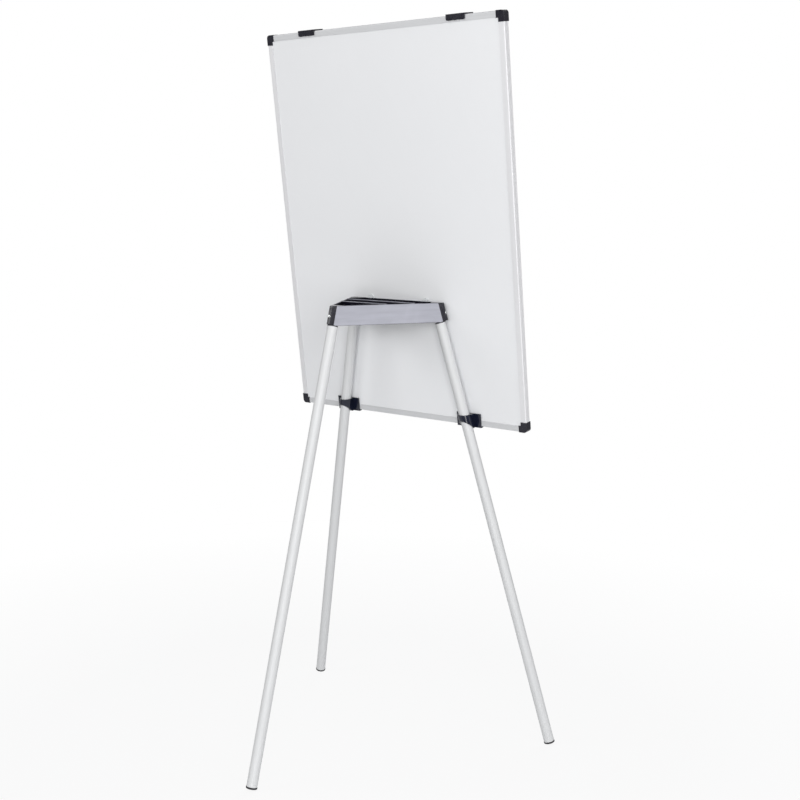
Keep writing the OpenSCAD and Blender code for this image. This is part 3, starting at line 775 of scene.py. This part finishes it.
@dataclass(frozen=True)
class Fibreboard(Finish):
    """Raw brown fibreboard with long fibres and darker flecks."""

    colour: str = "#b39a76"

    def make(self) -> Material:
        """Builds the material.

        Returns:
            The material.
        """
        graph = Graph(self.name)
        slant = Matrix.Rotation(0.3, 3, "X")
        fibres = graph.streaks(slant, across=900.0, along=90.0, detail=5.0, rough=0.7)
        flecks = graph.specks(scale=260.0, size=0.22) * graph.noise(scale=60.0).over(0.45, 0.6)
        colour = graph.blend(fibres.over(*MIDDLE), self.base, srgb("#927a58"))
        colour = graph.blend(flecks * 0.6, colour, srgb("#5f4b34"))
        return graph.finish(colour, 0.78 + fibres * 0.15, relief=fibres, depth=0.15)


BLACK = Moulded("black_moulding", "#0f0e1a", gloss=0.22, dust=0.015, specular=0.42)
BLACK_GLOSS = Moulded(
    "black_gloss_moulding", "#0b1021", slot="black_gloss", gloss=0.12, grain=0.005, dust=0.01, coat=0.3
)
STEEL = Plated("plated_steel")
RUBBER = Rubber("foot_rubber")
NYLON = Nylon("natural_nylon")
BACK = Painted("back_sheet_paint", "#e3e4e6", gloss=0.5)
FACE = Painted("writing_enamel", "#f1f2f3", gloss=0.16, peel=0.006, smear=0.12, coat=0.6)
CORE = Fibreboard("lattice_fibreboard")


# ---------------------------------------------------------------- workshop


@dataclass
class Workshop:
    """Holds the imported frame, the trees and the finishes, and makes and places pieces."""

    frame: Dict[str, Any]
    materials: Dict[str, Material] = field(default_factory=dict)
    made: List[str] = field(default_factory=list)

    def __post_init__(self) -> None:
        """Builds the shared trees."""
        self.lathe = LatheTree("turned_profile")
        self.scatter = ScatterTree("copies_on_points")
        self.thread = ThreadTree("screw_thread")

    def finish(self, finish: Finish) -> Material:
        """The material of a finish, built once for each name.

        Args:
            finish: the finish.

        Returns:
            Its material.
        """
        if finish.name not in self.materials:
            self.materials[finish.name] = finish.make()
        return self.materials[finish.name]

    def coat(self, mesh: Mesh, finish: Finish) -> None:
        """Gives a whole mesh one finish."""
        mesh.materials.clear()
        mesh.materials.append(self.finish(finish))

    def dress(self, finish: Finish, *nodes: str) -> None:
        """Gives solids of the frame their finish."""
        for node in nodes:
            self.coat(self.frame["nodes"][node].data, finish)

    def place(self, name: str, mesh: Mesh, body: str, slot: str, *nodes: str) -> None:
        """Adds a finished mesh as a piece of the easel.

        Args:
            name: the piece's name.
            mesh: its mesh, already where it belongs.
            body: the body it moves with.
            slot: not used.
            nodes: the solids it stands for.
        """
        piece = add_object(name, mesh)
        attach(piece, body)
        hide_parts(*nodes)
        self.made.append(name)

    def turned(
        self,
        name: str,
        profile: Profile,
        finish: Finish,
        steps: int = 32,
        lobes: int = 0,
        lobe_depth: float = 0.0,
        smooth: float = 35.0,
    ) -> Mesh:
        """Turns a profile about Z.

        Args:
            name: the mesh's name.
            profile: points of radius, height and, where lobes cut in, their weight, in millimetres.
            finish: the finish it takes.
            steps: number of steps round the axis.
            lobes: number of lobes round the axis.
            lobe_depth: how deep the lobes cut in, in millimetres.
            smooth: edges under this angle, in degrees, are shaded smooth.

        Returns:
            The turned mesh.
        """
        points = [(p[0] * MM, p[2] if len(p) > 2 else 0.0, p[1] * MM) for p in profile]
        base = bpy.data.meshes.new(name + "_profile")
        base.from_pydata(points, [(i, i + 1) for i in range(len(points) - 1)], [])
        sizes = {"Steps": steps, "Lobes": lobes, "Lobe_Depth": lobe_depth * MM}
        mesh = self.lathe.run(name, base, Material=self.finish(finish), **sizes)
        self.clean(mesh, smooth)
        return mesh

    def spread(
        self, name: str, pattern: Mesh, places: Sequence[Tuple[Point, Point]], body: str, node: str
    ) -> None:
        """Adds copies of one steel mesh on many places, as one piece of the easel.

        Args:
            name: the piece's name.
            pattern: the mesh that is copied, standing on its origin along Z.
            places: a point and an aim for each copy.
            body: the body they move with.
            node: the solids they stand for.
        """
        base = bpy.data.meshes.new(name + "_points")
        base.from_pydata([tuple(spot) for spot, _ in places], [], [])
        aims = base.attributes.new("aim", "FLOAT_VECTOR", "POINT")
        for item, (_, aim) in zip(aims.data, places):
            item.vector = Vector(aim).normalized()
        copied = add_object(name + "_pattern", pattern)
        mesh = self.scatter.run(name, base, Piece=copied, Material=self.finish(STEEL))
        bpy.data.objects.remove(copied)
        self.place(name, mesh, body, STEEL.slot, node)

    def clean(self, mesh: Mesh, smooth: float) -> None:
        """Merges doubles, points faces outwards and sets smooth shading up to an angle.

        Args:
            mesh: the mesh.
            smooth: the largest angle between faces that are shaded smooth, in degrees.
        """
        with edited(mesh) as work:
            bmesh.ops.remove_doubles(work, verts=work.verts, dist=WELD)
            bmesh.ops.dissolve_degenerate(work, edges=work.edges, dist=SLIVER)
            bmesh.ops.recalc_face_normals(work, faces=work.faces)
        mesh.shade_smooth()
        mesh.set_sharp_from_angle(angle=math.radians(smooth))

    def softened(
        self, name: str, node: str, body: str, finish: Finish, radius: float, segments: int = 2
    ) -> None:
        """Stands a copy with rounded edges in for a solid of the frame.

        Args:
            name: the piece's name.
            node: the solid it copies and replaces.
            body: the body it moves with.
            finish: the finish it takes.
            radius: radius of the edges, in millimetres.
            segments: faces across each rounded edge.
        """
        mesh = self.frame["nodes"][node].data.copy()
        with edited(mesh) as work:
            bmesh.ops.remove_doubles(work, verts=work.verts, dist=SOLID_WELD)
            bmesh.ops.dissolve_limit(work, angle_limit=FLAT_ANGLE, verts=work.verts, edges=work.edges)
        self.coat(mesh, finish)
        holder = add_object(name + "_base", mesh)
        bevel = holder.modifiers.new("edges", "BEVEL")
        bevel.width = radius * MM
        bevel.segments = segments
        bevel.limit_method = "ANGLE"
        bevel.angle_limit = BEVEL_ANGLE
        bevel.miter_outer = "MITER_ARC"
        holder.modifiers.new("shading", "WEIGHTED_NORMAL").keep_sharp = True
        mesh.shade_smooth()
        self.place(name, settled(name, holder), body, finish.slot, node)


@dataclass(frozen=True)
class Stand:
    """Where the legs, the head and the board stand, in metres. The board leans as the front legs do."""

    head_z: float
    centre_y: float
    splay: float = math.radians(15.3)
    head_r: float = 154.5 * MM
    tube_r: float = 12.5 * MM
    board_gap: float = 2.5 * MM
    board_drop: float = 252 * MM

    @classmethod
    def from_frame(cls, frame: Dict[str, Any]) -> "Stand":
        """Reads the height of the head and the stand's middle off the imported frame.


        Returns:
            The stand.
        """
        hinges = [joint["pos_m"] for joint in frame["joints"] if joint["name"].endswith("_fold")]
        middle = sum(place[1] for place in hinges) / len(hinges)
        return cls(head_z=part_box("head_frame")[0][2], centre_y=middle)

    @property
    def lean(self) -> float:
        """How far the front legs' plane, and the board, lean back."""
        return math.atan(math.tan(self.splay) / 2)

    def around(self, degrees: float) -> Matrix:
        """Frame on the floor under the middle of the head, turned about Z."""
        return Matrix.Translation((0, self.centre_y, 0)) @ Matrix.Rotation(math.radians(degrees), 4, "Z")

    def leg(self, compass: Compass) -> Matrix:
        """Frame of a leg: Z up its axis, X outwards, level with the underside of the head."""
        top = Matrix.Translation((self.head_r, 0, self.head_z))
        return self.around(compass.value) @ top @ Matrix.Rotation(-self.splay, 4, "Y")

    def wall(self, degrees: float = 0.0) -> Matrix:
        """Frame of a side of the head, turned from the front: XZ through two leg axes, Y inwards."""
        middle = Matrix.Translation((0, -self.head_r / 2, self.head_z))
        return self.around(degrees) @ middle @ Matrix.Rotation(-self.lean, 4, "X")

    def board(self) -> Matrix:
        """Frame of the board: origin at the middle of its lower edge, on its back face."""
        return self.wall() @ Matrix.Translation((0, -self.tube_r - self.board_gap, -self.board_drop))

    def level(self) -> Matrix:
        """Turn whose Z runs along the board's width."""
        return self.board().to_3x3() @ Matrix.Rotation(QUARTER_TURN, 3, "Y")


# ---------------------------------------------------------------- sub-assemblies


@dataclass
class Screw:
    """A small screw with a domed head and a lobed recess, turned on its own axis."""

    head_d: float
    head_h: float
    shank_d: float
    shank_l: float
    recess_r: float
    lobes: int = 4
    dome: float = 0.35
    crown: float = 0.12
    lobe_cut: float = 0.62
    smooth: float = 28.0

    def profile(self) -> Profile:
        """Profile from the shank's tip up to the bottom of the recess.

        Returns:
            Points of radius, height and, in the recess, their weight.
        """
        r, h, s, recess = self.head_d / 2, self.head_h, self.shank_d / 2, self.recess_r
        rim = h * (1 - self.dome)
        crown = [
            (r * math.cos(a) * self.crown + r * (1 - self.crown), rim + (h - rim) * 0.5 * math.sin(a))
            for a in (0.0, 0.5, 1.0, 1.5)
        ]
        return [
            (0.0, -self.shank_l),
            (s * 0.8, -self.shank_l),
            (s, -self.shank_l + s * 0.3),
            (s, 0.0),
            (r * 0.97, 0.0),
            (r, h * 0.12),
            *crown,
            (recess * 1.5, h * 0.98),
            (recess * 1.04, h, 1.0),
            (recess, h * 0.93, 1.0),
            (recess * 0.8, h * 0.35, 0.8),
            (0.0, h * 0.3),
        ]

    def mesh(self, shop: Workshop, name: str) -> Mesh:
        """The screw with its head's seat at the origin and its head along +Z."""
        cut = self.recess_r * self.lobe_cut
        return shop.turned(name, self.profile(), STEEL, lobes=self.lobes, lobe_depth=cut, smooth=self.smooth)


@dataclass
class Head:
    """The triangular head with its panels, base plate, screws and hinge pins.

    The stop screws are measured in a leg's frame, and the panels' low and high edge in a side's.
    """

    shop: Workshop
    stand: Stand
    edge: float = 0.7
    panel_edge: float = 0.35
    base_edge: float = 0.6
    nose_x: float = 19.603
    stop_seat: float = 2.0
    stop_up: float = 18.5
    stop_tip_x: float = 8.4
    base_z: float = 2.2
    web_pitch: float = 61.0
    boss_x: float = 68.0
    boss_rear_x: float = 24.0
    # Depth below the top of the head moulding where its painted highlight starts, in millimetres.
    rubbed_h: float = 2.2
    panel_low: float = -1.41
    panel_high: float = 44.02

    def build(self) -> None:
        """Makes and dresses every piece of the head."""
        shop = self.shop
        rim = (0.0, self.stand.centre_y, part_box("head_frame")[1][2] - self.rubbed_h * MM)
        # The head moulding takes a painted highlight: paler colour on its rim and web tops, standing in for
        # their glints.
        black = HandledRim("black_head_moulding", BLACK.colour, gloss=0.17, dust=0.015, specular=0.6, rim=rim)
        shop.softened("head_moulding", "head_frame", "head", black, self.edge)
        # Heights of the panels' low and high edges, where their painted shade lies.
        shaded_edges = {"low": self.panel_low * MM, "high": self.panel_high * MM}
        for which, turn in (("front", 0.0), ("right", 120.0), ("left", 240.0)):
            grey = StreakedPlate(f"grey_streaked_{which}", "#a5a6b0", frame=self.stand.wall(turn), **shaded_edges)
            shop.softened(f"head_plate_{which}", f"side_panel_{which}", "head", grey, self.panel_edge)
        shop.softened("head_base", "base_plate", "head", BLACK, self.base_edge)
        shop.dress(STEEL, "hinge_pins")
        self.add_stop_screws()
        self.add_base_screws()

    def add_stop_screws(self) -> None:
        """Adds the round-headed screw on the nose of each corner."""
        seat = self.nose_x - self.stop_seat
        screw = Screw(head_d=7.6, head_h=2.2, shank_d=5.0, shank_l=seat - self.stop_tip_x, recess_r=1.5)
        places = []
        for compass in Compass:
            frame = self.stand.leg(compass)
            spot = frame @ Vector((seat * MM, 0, self.stop_up * MM))
            places.append((spot, frame.to_3x3() @ Vector((1, 0, 0))))
        pattern = screw.mesh(self.shop, "stop_screw")
        self.shop.spread("stop_screw_set", pattern, places, "head", "stop_screws")

    def add_base_screws(self) -> None:
        """Adds the four screws under the base plate."""
        screw = Screw(head_d=7.0, head_h=1.8, shank_d=3.5, shank_l=15.5, recess_r=1.5)
        front_y = self.stand.centre_y - self.stand.head_r / 2
        height = self.stand.head_z + self.base_z * MM
        places = []
        for side in Side:
            for x, webs in ((self.boss_x, 1), (self.boss_rear_x, 2)):
                spot = (side.value * x * MM, front_y + webs * self.web_pitch * MM, height)
                places.append((spot, (0.0, 0.0, -1.0)))
        pattern = screw.mesh(self.shop, "base_screw")
        self.shop.spread("base_screw_set", pattern, places, "head", "base_screws")


@dataclass
class Leg:
    """One leg: its tube, its knuckle and its foot. Heights run up the leg's axis from under the head."""

    shop: Workshop
    stand: Stand
    compass: Compass
    outer_r: float = 12.5
    wall: float = 1.2
    tube_top: float = -2.3
    tube_end: float = -1062.21
    tube_edge: float = 0.3
    foot_centre: float = -1028.45
    foot_dome_r: float = 40.0
    sole_steps: int = 10
    rim_r: float = 13.2
    rim_h: float = 4.0
    rim_lobes: int = 24
    rim_lobe_depth: float = 0.35
    plug_l: float = 30.0
    plug_clear: float = 0.1
    barb: float = 0.6
    barb_pitch: float = 3.0
    knuckle_edge: float = 0.5

    def build(self) -> None:
        """Makes and dresses the leg's pieces."""
        shop, where = self.shop, self.compass.word
        body = f"leg_{where}"
        axis = self.stand.leg(self.compass)
        silver = Drawn(f"tube_silver_{where}", "#d2d3d4", turn=axis, metal=0.15, gloss=0.48)
        tube = shop.turned(f"tube_{where}", self.tube_profile(), silver, steps=72)
        tube.transform(axis)
        shop.place(f"tube_{where}", tube, body, silver.slot, f"leg_tube_{where}")
        lobes = {"lobes": self.rim_lobes, "lobe_depth": self.rim_lobe_depth}
        foot = shop.turned(f"glide_{where}", self.foot_profile(), RUBBER, steps=96, **lobes)
        foot.transform(axis)
        shop.place(f"glide_{where}", foot, body, RUBBER.slot, f"foot_{where}")
        shop.softened(f"knuckle_moulding_{where}", f"knuckle_{where}", body, BLACK, self.knuckle_edge)

    def tube_profile(self) -> Profile:
        """Section of the tube's wall, with its ends' edges broken.

        Returns:
            Points of radius and height, closed.
        """
        r, low, top, c = self.outer_r, self.tube_end, self.tube_top, self.tube_edge
        bore = r - self.wall
        return [
            (bore + c, low),
            (r - c, low),
            (r, low + c),
            (r, top - c),
            (r - c, top),
            (bore + c, top),
            (bore, top - c),
            (bore, low + c),
            (bore + c, low),
        ]

    def foot_profile(self) -> Profile:
        """Profile of the foot from the middle of its sole up to the end of its barbed plug.

        Returns:
            Points of radius, height and, on the rim, their weight.
        """
        base, dome, r = self.foot_centre, self.foot_dome_r, self.rim_r
        turns = [math.asin(r / dome) * k / self.sole_steps for k in range(self.sole_steps + 1)]
        sole = [(dome * math.sin(a), base - dome * math.cos(a)) for a in turns]
        rim = base - math.sqrt(dome**2 - r**2)
        sole[-1] = (r - 0.5, sole[-1][1] + 0.02)
        top = rim + self.rim_h
        plug_r = self.outer_r - self.wall - self.plug_clear
        barbs = [
            (plug_r - (self.barb if k % 2 else 0.0), top + self.barb_pitch + k * self.barb_pitch)
            for k in range(int(self.plug_l / self.barb_pitch) - 1)
        ]
        return [
            *sole,
            (r - 0.1, rim + 0.25, 0.6),
            (r, rim + 0.7, 1.0),
            (r, top - 0.5, 1.0),
            (r - 0.15, top - 0.12, 0.6),
            (r - 0.5, top),
            (plug_r, top),
            *barbs,
            (plug_r - 1.0, top + self.plug_l),
            (0.0, top + self.plug_l),
        ]


@dataclass
class Board:
    """The framed board: sheets, core, rails, corner caps and hangers, measured in the board's frame."""

    shop: Workshop
    stand: Stand
    cap_edge: float = 0.9
    hanger_edge: float = 0.5
    hanger_x: float = 85.0
    hanger_t: float = 2.2
    rivet_head_r: float = 3.2
    rivet_low: float = 265.0
    rivet_pitch: float = 16.0

    def build(self) -> None:
        """Makes and dresses the board's pieces."""
        shop, stand = self.shop, self.stand
        upright = stand.board().to_3x3()
        shop.dress(FACE, "writing_sheet")
        shop.dress(BACK, "back_sheet")
        shop.dress(CORE, "panel_core")
        # The level rails take a darker tone than the upright rails of the same aluminium: painted shade.
        across = Drawn("rail_silver_level", "#cfd0d2", turn=stand.level(), metal=0.3, gloss=0.46)
        along = Drawn("rail_silver_upright", "#e2e2e4", turn=upright, metal=0.3, gloss=0.46)
        shop.dress(across, "rail_top", "rail_bottom")
        shop.dress(along, "rail_left", "rail_right")
        for which in (f"{edge}_{side.word}" for edge in ("top", "bottom") for side in Side):
            shop.softened(f"corner_guard_{which}", f"corner_cap_{which}", "board", BLACK, self.cap_edge, 3)
        for which in (side.word for side in Side):
            shop.softened(f"hanger_tab_{which}", f"hanger_{which}", "board", NYLON, self.hanger_edge)
        self.add_rivets()

    def add_rivets(self) -> None:
        """Adds the countersunk rivets of the hangers: shank, head and the dimple in the head."""
        r = self.rivet_head_r
        profile = [(0, -5.9), (1.3, -5.9), (1.6, -5.5), (1.6, -1.32), (r, -0.02), (r * 0.9, 0.0)]
        profile += [(1.25, -0.02), (1.1, -0.9), (0.0, -1.0)]
        frame = self.stand.board()
        outward = frame.to_3x3() @ Vector((0, 1, 0))
        places = []
        for side in Side:
            for height in (self.rivet_low, self.rivet_low + self.rivet_pitch):
                spot = Vector((side.value * self.hanger_x, self.hanger_t, height)) * MM
                places.append((frame @ spot, outward))
        pattern = self.shop.turned("rivet", profile, STEEL)
        self.shop.spread("hanger_rivet_set", pattern, places, "board", "hanger_rivets")


@dataclass
class Tray:
    """The pen tray on the front of the bottom rail, measured in the board's frame."""

    shop: Workshop
    stand: Stand
    edge: float = 0.4
    cap_edge: float = 0.9
    screw_pitch: float = 90.0
    screw_z: float = 8.0
    face_y: float = -18.0

    def build(self) -> None:
        """Makes and dresses the tray's pieces."""
        shop, frame = self.shop, self.stand.board()
        silver = Drawn("tray_silver", "#cfd0d2", turn=self.stand.level(), metal=0.4)
        shop.softened("tray_profile", "pen_tray", "board", silver, self.edge)
        for which in (side.word for side in Side):
            shop.softened(f"tray_cap_{which}", f"tray_end_{which}", "board", BLACK, self.cap_edge, 3)
        screw = Screw(head_d=6.0, head_h=1.6, shank_d=3.0, shank_l=2.7, recess_r=1.2)
        forward = frame.to_3x3() @ Vector((0, -1, 0))
        spots = [Vector((k * self.screw_pitch, self.face_y, self.screw_z)) * MM for k in (-1, 0, 1)]
        places = [(frame @ spot, forward) for spot in spots]
        shop.spread("tray_screw_set", screw.mesh(shop, "tray_screw"), places, "board", "tray_screws")


@dataclass
class PadHook:
    """A hook over the top rail with its peg, clamp stud and knob, measured in the board's frame."""

    shop: Workshop
    stand: Stand
    side: Side
    edge: float = 0.8
    stud_z: float = 932.75
    stud_tip_y: float = -16.8
    stud_end_y: float = -45.5
    stud_core_r: float = 2.55
    stud_pitch: float = 1.0
    stud_lead: float = 1.2
    knob_y: float = -35.1
    knob_r: float = 10.0
    knob_h: float = 13.0
    knob_bore_r: float = 3.1
    knob_round: float = 1.4
    knob_lobes: int = 8
    knob_lobe_depth: float = 1.9
    hub_r: float = 6.5
    hub_h: float = 2.0

    def build(self) -> None:
        """Makes and dresses the hook, its stud and its knob."""
        shop, which = self.shop, self.side.word
        shop.softened(f"pad_hook_{which}", f"hook_{which}", f"hook_{which}", BLACK, self.edge, 3)
        low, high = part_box(f"hook_{which}")
        frame = self.stand.board() @ Matrix.Translation(((low.x + high.x) / 2, 0, self.stud_z * MM))
        outward = frame @ Matrix.Rotation(QUARTER_TURN, 4, "X")
        stud = self.stud_mesh(f"clamp_stud_{which}")
        lobes = {"lobes": self.knob_lobes, "lobe_depth": self.knob_lobe_depth}
        knob = shop.turned(f"clamp_knob_{which}", self.knob_profile(), BLACK, steps=128, smooth=40.0, **lobes)
        for part, mesh, slot in (("stud", stud, STEEL.slot), ("knob", knob, BLACK.slot)):
            mesh.transform(outward)
            shop.place(f"clamp_{part}_{which}", mesh, f"knob_{which}", slot, f"hook_{part}_{which}")

    def stud_mesh(self, name: str) -> Mesh:
        """Cuts the threaded stud with its plain tip.

        Args:
            name: the mesh's name.

        Returns:
            The stud, its tip towards the rail and the rest along +Z.
        """
        start, lead = -self.stud_tip_y * MM, self.stud_lead * MM
        length = (self.stud_tip_y - self.stud_end_y) * MM - 2 * lead
        sizes = {"Core_Radius": self.stud_core_r * MM, "Pitch": self.stud_pitch * MM, "Length": length}
        seed = bpy.data.meshes.new("thread_seed")
        mesh = self.shop.thread.run(name, seed, Material=self.shop.finish(STEEL), **sizes)
        mesh.transform(Matrix.Translation((0, 0, start + lead)))
        tip = self.shop.turned(name + "_tip", [(0, 0), (1.5, 0), (2.0, 0.4), (2.0, 1.4), (0, 1.4)], STEEL)
        tip.transform(Matrix.Translation((0, 0, start)))
        with edited(mesh) as work:
            work.from_mesh(tip)
        self.shop.clean(mesh, smooth=25.0)
        return mesh

    def knob_profile(self) -> Profile:
        """Profile of the knob from its hub, next to the hook, out to the dish in its crown.

        Returns:
            Points of radius, height and weight.
        """
        near, r, edge = -self.knob_y, self.knob_r, self.knob_round
        far, hub = near + self.knob_h, near + self.hub_h
        crown = [
            (r - edge + edge * math.cos(a), far - 1.8 + edge * math.sin(a), 1.0 - 0.2 * a)
            for a in (0.0, 0.4, 0.8, 1.2, 1.57)
        ]
        return [
            (self.knob_bore_r, near),
            (self.hub_r - 0.3, near),
            (self.hub_r, near + 0.3),
            (self.hub_r, hub),
            (r - 1.0, hub, 0.9),
            (r - 0.3, hub + 0.3, 1.0),
            (r, hub + 1.0, 1.0),
            *crown,
            (r * 0.62, far - 0.12, 0.0),
            (r * 0.56, far - 0.7, 0.0),
            (r * 0.5, far - 0.75, 0.0),
            (0.0, far - 0.3, 0.0),
        ]


@dataclass
class BoardClip:
    """A clip round a front leg, with a ledge under the board's lower edge."""

    shop: Workshop
    side: Side
    edge: float = 0.5

    def build(self) -> None:
        """Makes and dresses the clip."""
        which, shop = self.side.word, self.shop
        shop.softened(f"leg_clip_{which}", f"board_clip_{which}", f"clip_{which}", BLACK_GLOSS, self.edge)


# ---------------------------------------------------------------- studio


@dataclass(frozen=True)
class Lamp:
    """A square soft lamp: its place, the length of its edge, its power in watts and what it faces."""

    name: str
    place: Point
    size: float
    power: float
    aim: Point = (0.0, -0.1, 1.1)

    def hang(self) -> None:
        """Adds the lamp to the scene."""
        data = bpy.data.lights.new(self.name, "AREA")
        data.size = self.size
        data.energy = self.power
        lamp = add_object(self.name, data)
        lamp.location = self.place
        face(lamp, Vector(self.aim) - Vector(self.place))


LAMPS = (
    Lamp("key", (-0.9, 3.8, 2.0), size=1.2, power=28.0),
    Lamp("fill_right", (-3.1, 3.1, 1.4), size=2.0, power=97.0),
    Lamp("fill_left", (2.6, 3.2, 2.8), size=1.8, power=44.0),
    Lamp("side", (-3.4, 0.6, 2.6), size=1.2, power=26.0),
    Lamp("low", (-1.0, 4.2, 0.5), size=0.6, power=10.0),
    Lamp("edge", (-3.6, -1.3, 0.5), size=0.6, power=16.0),
    Lamp("top", (0.0, 0.3, 4.6), size=3.0, power=16.0, aim=(0.0, 0.0, 0.0)),
    Lamp("writing_side", (0.8, -3.6, 2.6), size=2.8, power=60.0),
)


@dataclass
class Studio:
    """Camera, lamps, backdrop and floor, in metres and degrees."""

    eye: Point = (-1.94161, 2.24547, 1.32687)
    azimuth: float = 220.687
    elevation: float = 9.458
    lens: float = 57.70
    sensor: float = 36.0
    shift: Tuple[float, float] = (0.06319, 0.01122)
    clip: Tuple[float, float] = (0.1, 60.0)
    floor_r: float = 2.2
    fade: Tuple[float, float] = (0.8, 2.0)
    ambient: float = 0.28
    mirrored: float = 0.35
    floor_glow: float = 0.9

    def build(self) -> None:
        """Sets up the studio."""
        self.add_camera()
        self.add_world()
        self.add_floor()
        for lamp in LAMPS:
            lamp.hang()

    def add_camera(self) -> None:
        """Adds the camera."""
        data = bpy.data.cameras.new("camera")
        data.lens = self.lens
        data.sensor_width = self.sensor
        data.shift_x, data.shift_y = self.shift
        data.clip_start, data.clip_end = self.clip
        a, e = math.radians(self.azimuth), math.radians(self.elevation)
        back = Vector((math.sin(a) * math.cos(e), -math.cos(a) * math.cos(e), math.sin(e)))
        camera = add_object("camera", data)
        camera.location = self.eye
        face(camera, -back)
        bpy.context.scene.camera = camera

    def add_world(self) -> None:
        """Adds an even pale sky: dim for lighting, a little brighter in reflections, white where seen."""
        world = bpy.data.worlds.new("studio")
        graph = Graph(world)
        seen, glossy, through = (graph.ray(kind) for kind in ("Camera", "Glossy", "Transmission"))
        dim = self.ambient + glossy * (self.mirrored - self.ambient)
        level = graph.math("MAXIMUM", dim, graph.math("MAXIMUM", seen, through))
        sky = graph.out("ShaderNodeBackground", "Background", Color=WHITE, Strength=level)
        graph.node("ShaderNodeOutputWorld", Surface=sky)
        bpy.context.scene.world = world

    def add_floor(self) -> None:
        """Adds a plain pale floor that fades out far from the easel."""
        mesh = bpy.data.meshes.new("floor")
        with edited(mesh) as work:
            bmesh.ops.create_circle(work, cap_ends=True, segments=96, radius=self.floor_r)
        mesh.materials.append(self.floor_finish())
        floor = add_object("floor", mesh)

    def floor_finish(self) -> Material:
        """Pale matt floor, nearly white for the camera and mirrored rays, and clear from below.

        Returns:
            The material.
        """
        graph = Graph("floor_pale")
        tone = graph.blend(graph.noise(scale=0.8), srgb("#c6c7c9"), srgb("#c0c1c4"))
        solid = 1 - graph.measure("LENGTH").over(*self.fade)
        matt = graph.out("ShaderNodeBsdfPrincipled", "BSDF", Base_Color=tone, Roughness=0.9, Alpha=solid)
        white = graph.out("ShaderNodeEmission", "Emission")
        clear = graph.out("ShaderNodeBsdfTransparent", "BSDF")
        below = graph.out("ShaderNodeNewGeometry", "Backfacing")
        glow = graph.math("MAXIMUM", graph.ray("Camera"), graph.ray("Glossy")) * self.floor_glow
        top = graph.out("ShaderNodeMixShader", "Shader", i0=glow, i1=matt, i2=white)
        return graph.close(graph.out("ShaderNodeMixShader", "Shader", i0=below, i1=top, i2=clear))


def main() -> None:
    """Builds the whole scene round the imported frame."""
    logging.basicConfig(level=logging.INFO, format="%(name)s: %(message)s")
    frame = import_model()
    shop = Workshop(frame)
    stand = Stand.from_frame(frame)
    Head(shop, stand).build()
    for compass in Compass:
        Leg(shop, stand, compass).build()
    Board(shop, stand).build()
    Tray(shop, stand).build()
    for side in Side:
        PadHook(shop, stand, side).build()
        BoardClip(shop, side).build()
    Studio().build()
    for name in shop.made:
        LOG.info("made %s", name)
    bpy.context.scene.view_settings.view_transform = "Standard"


if __name__ == "__main__":
    main()
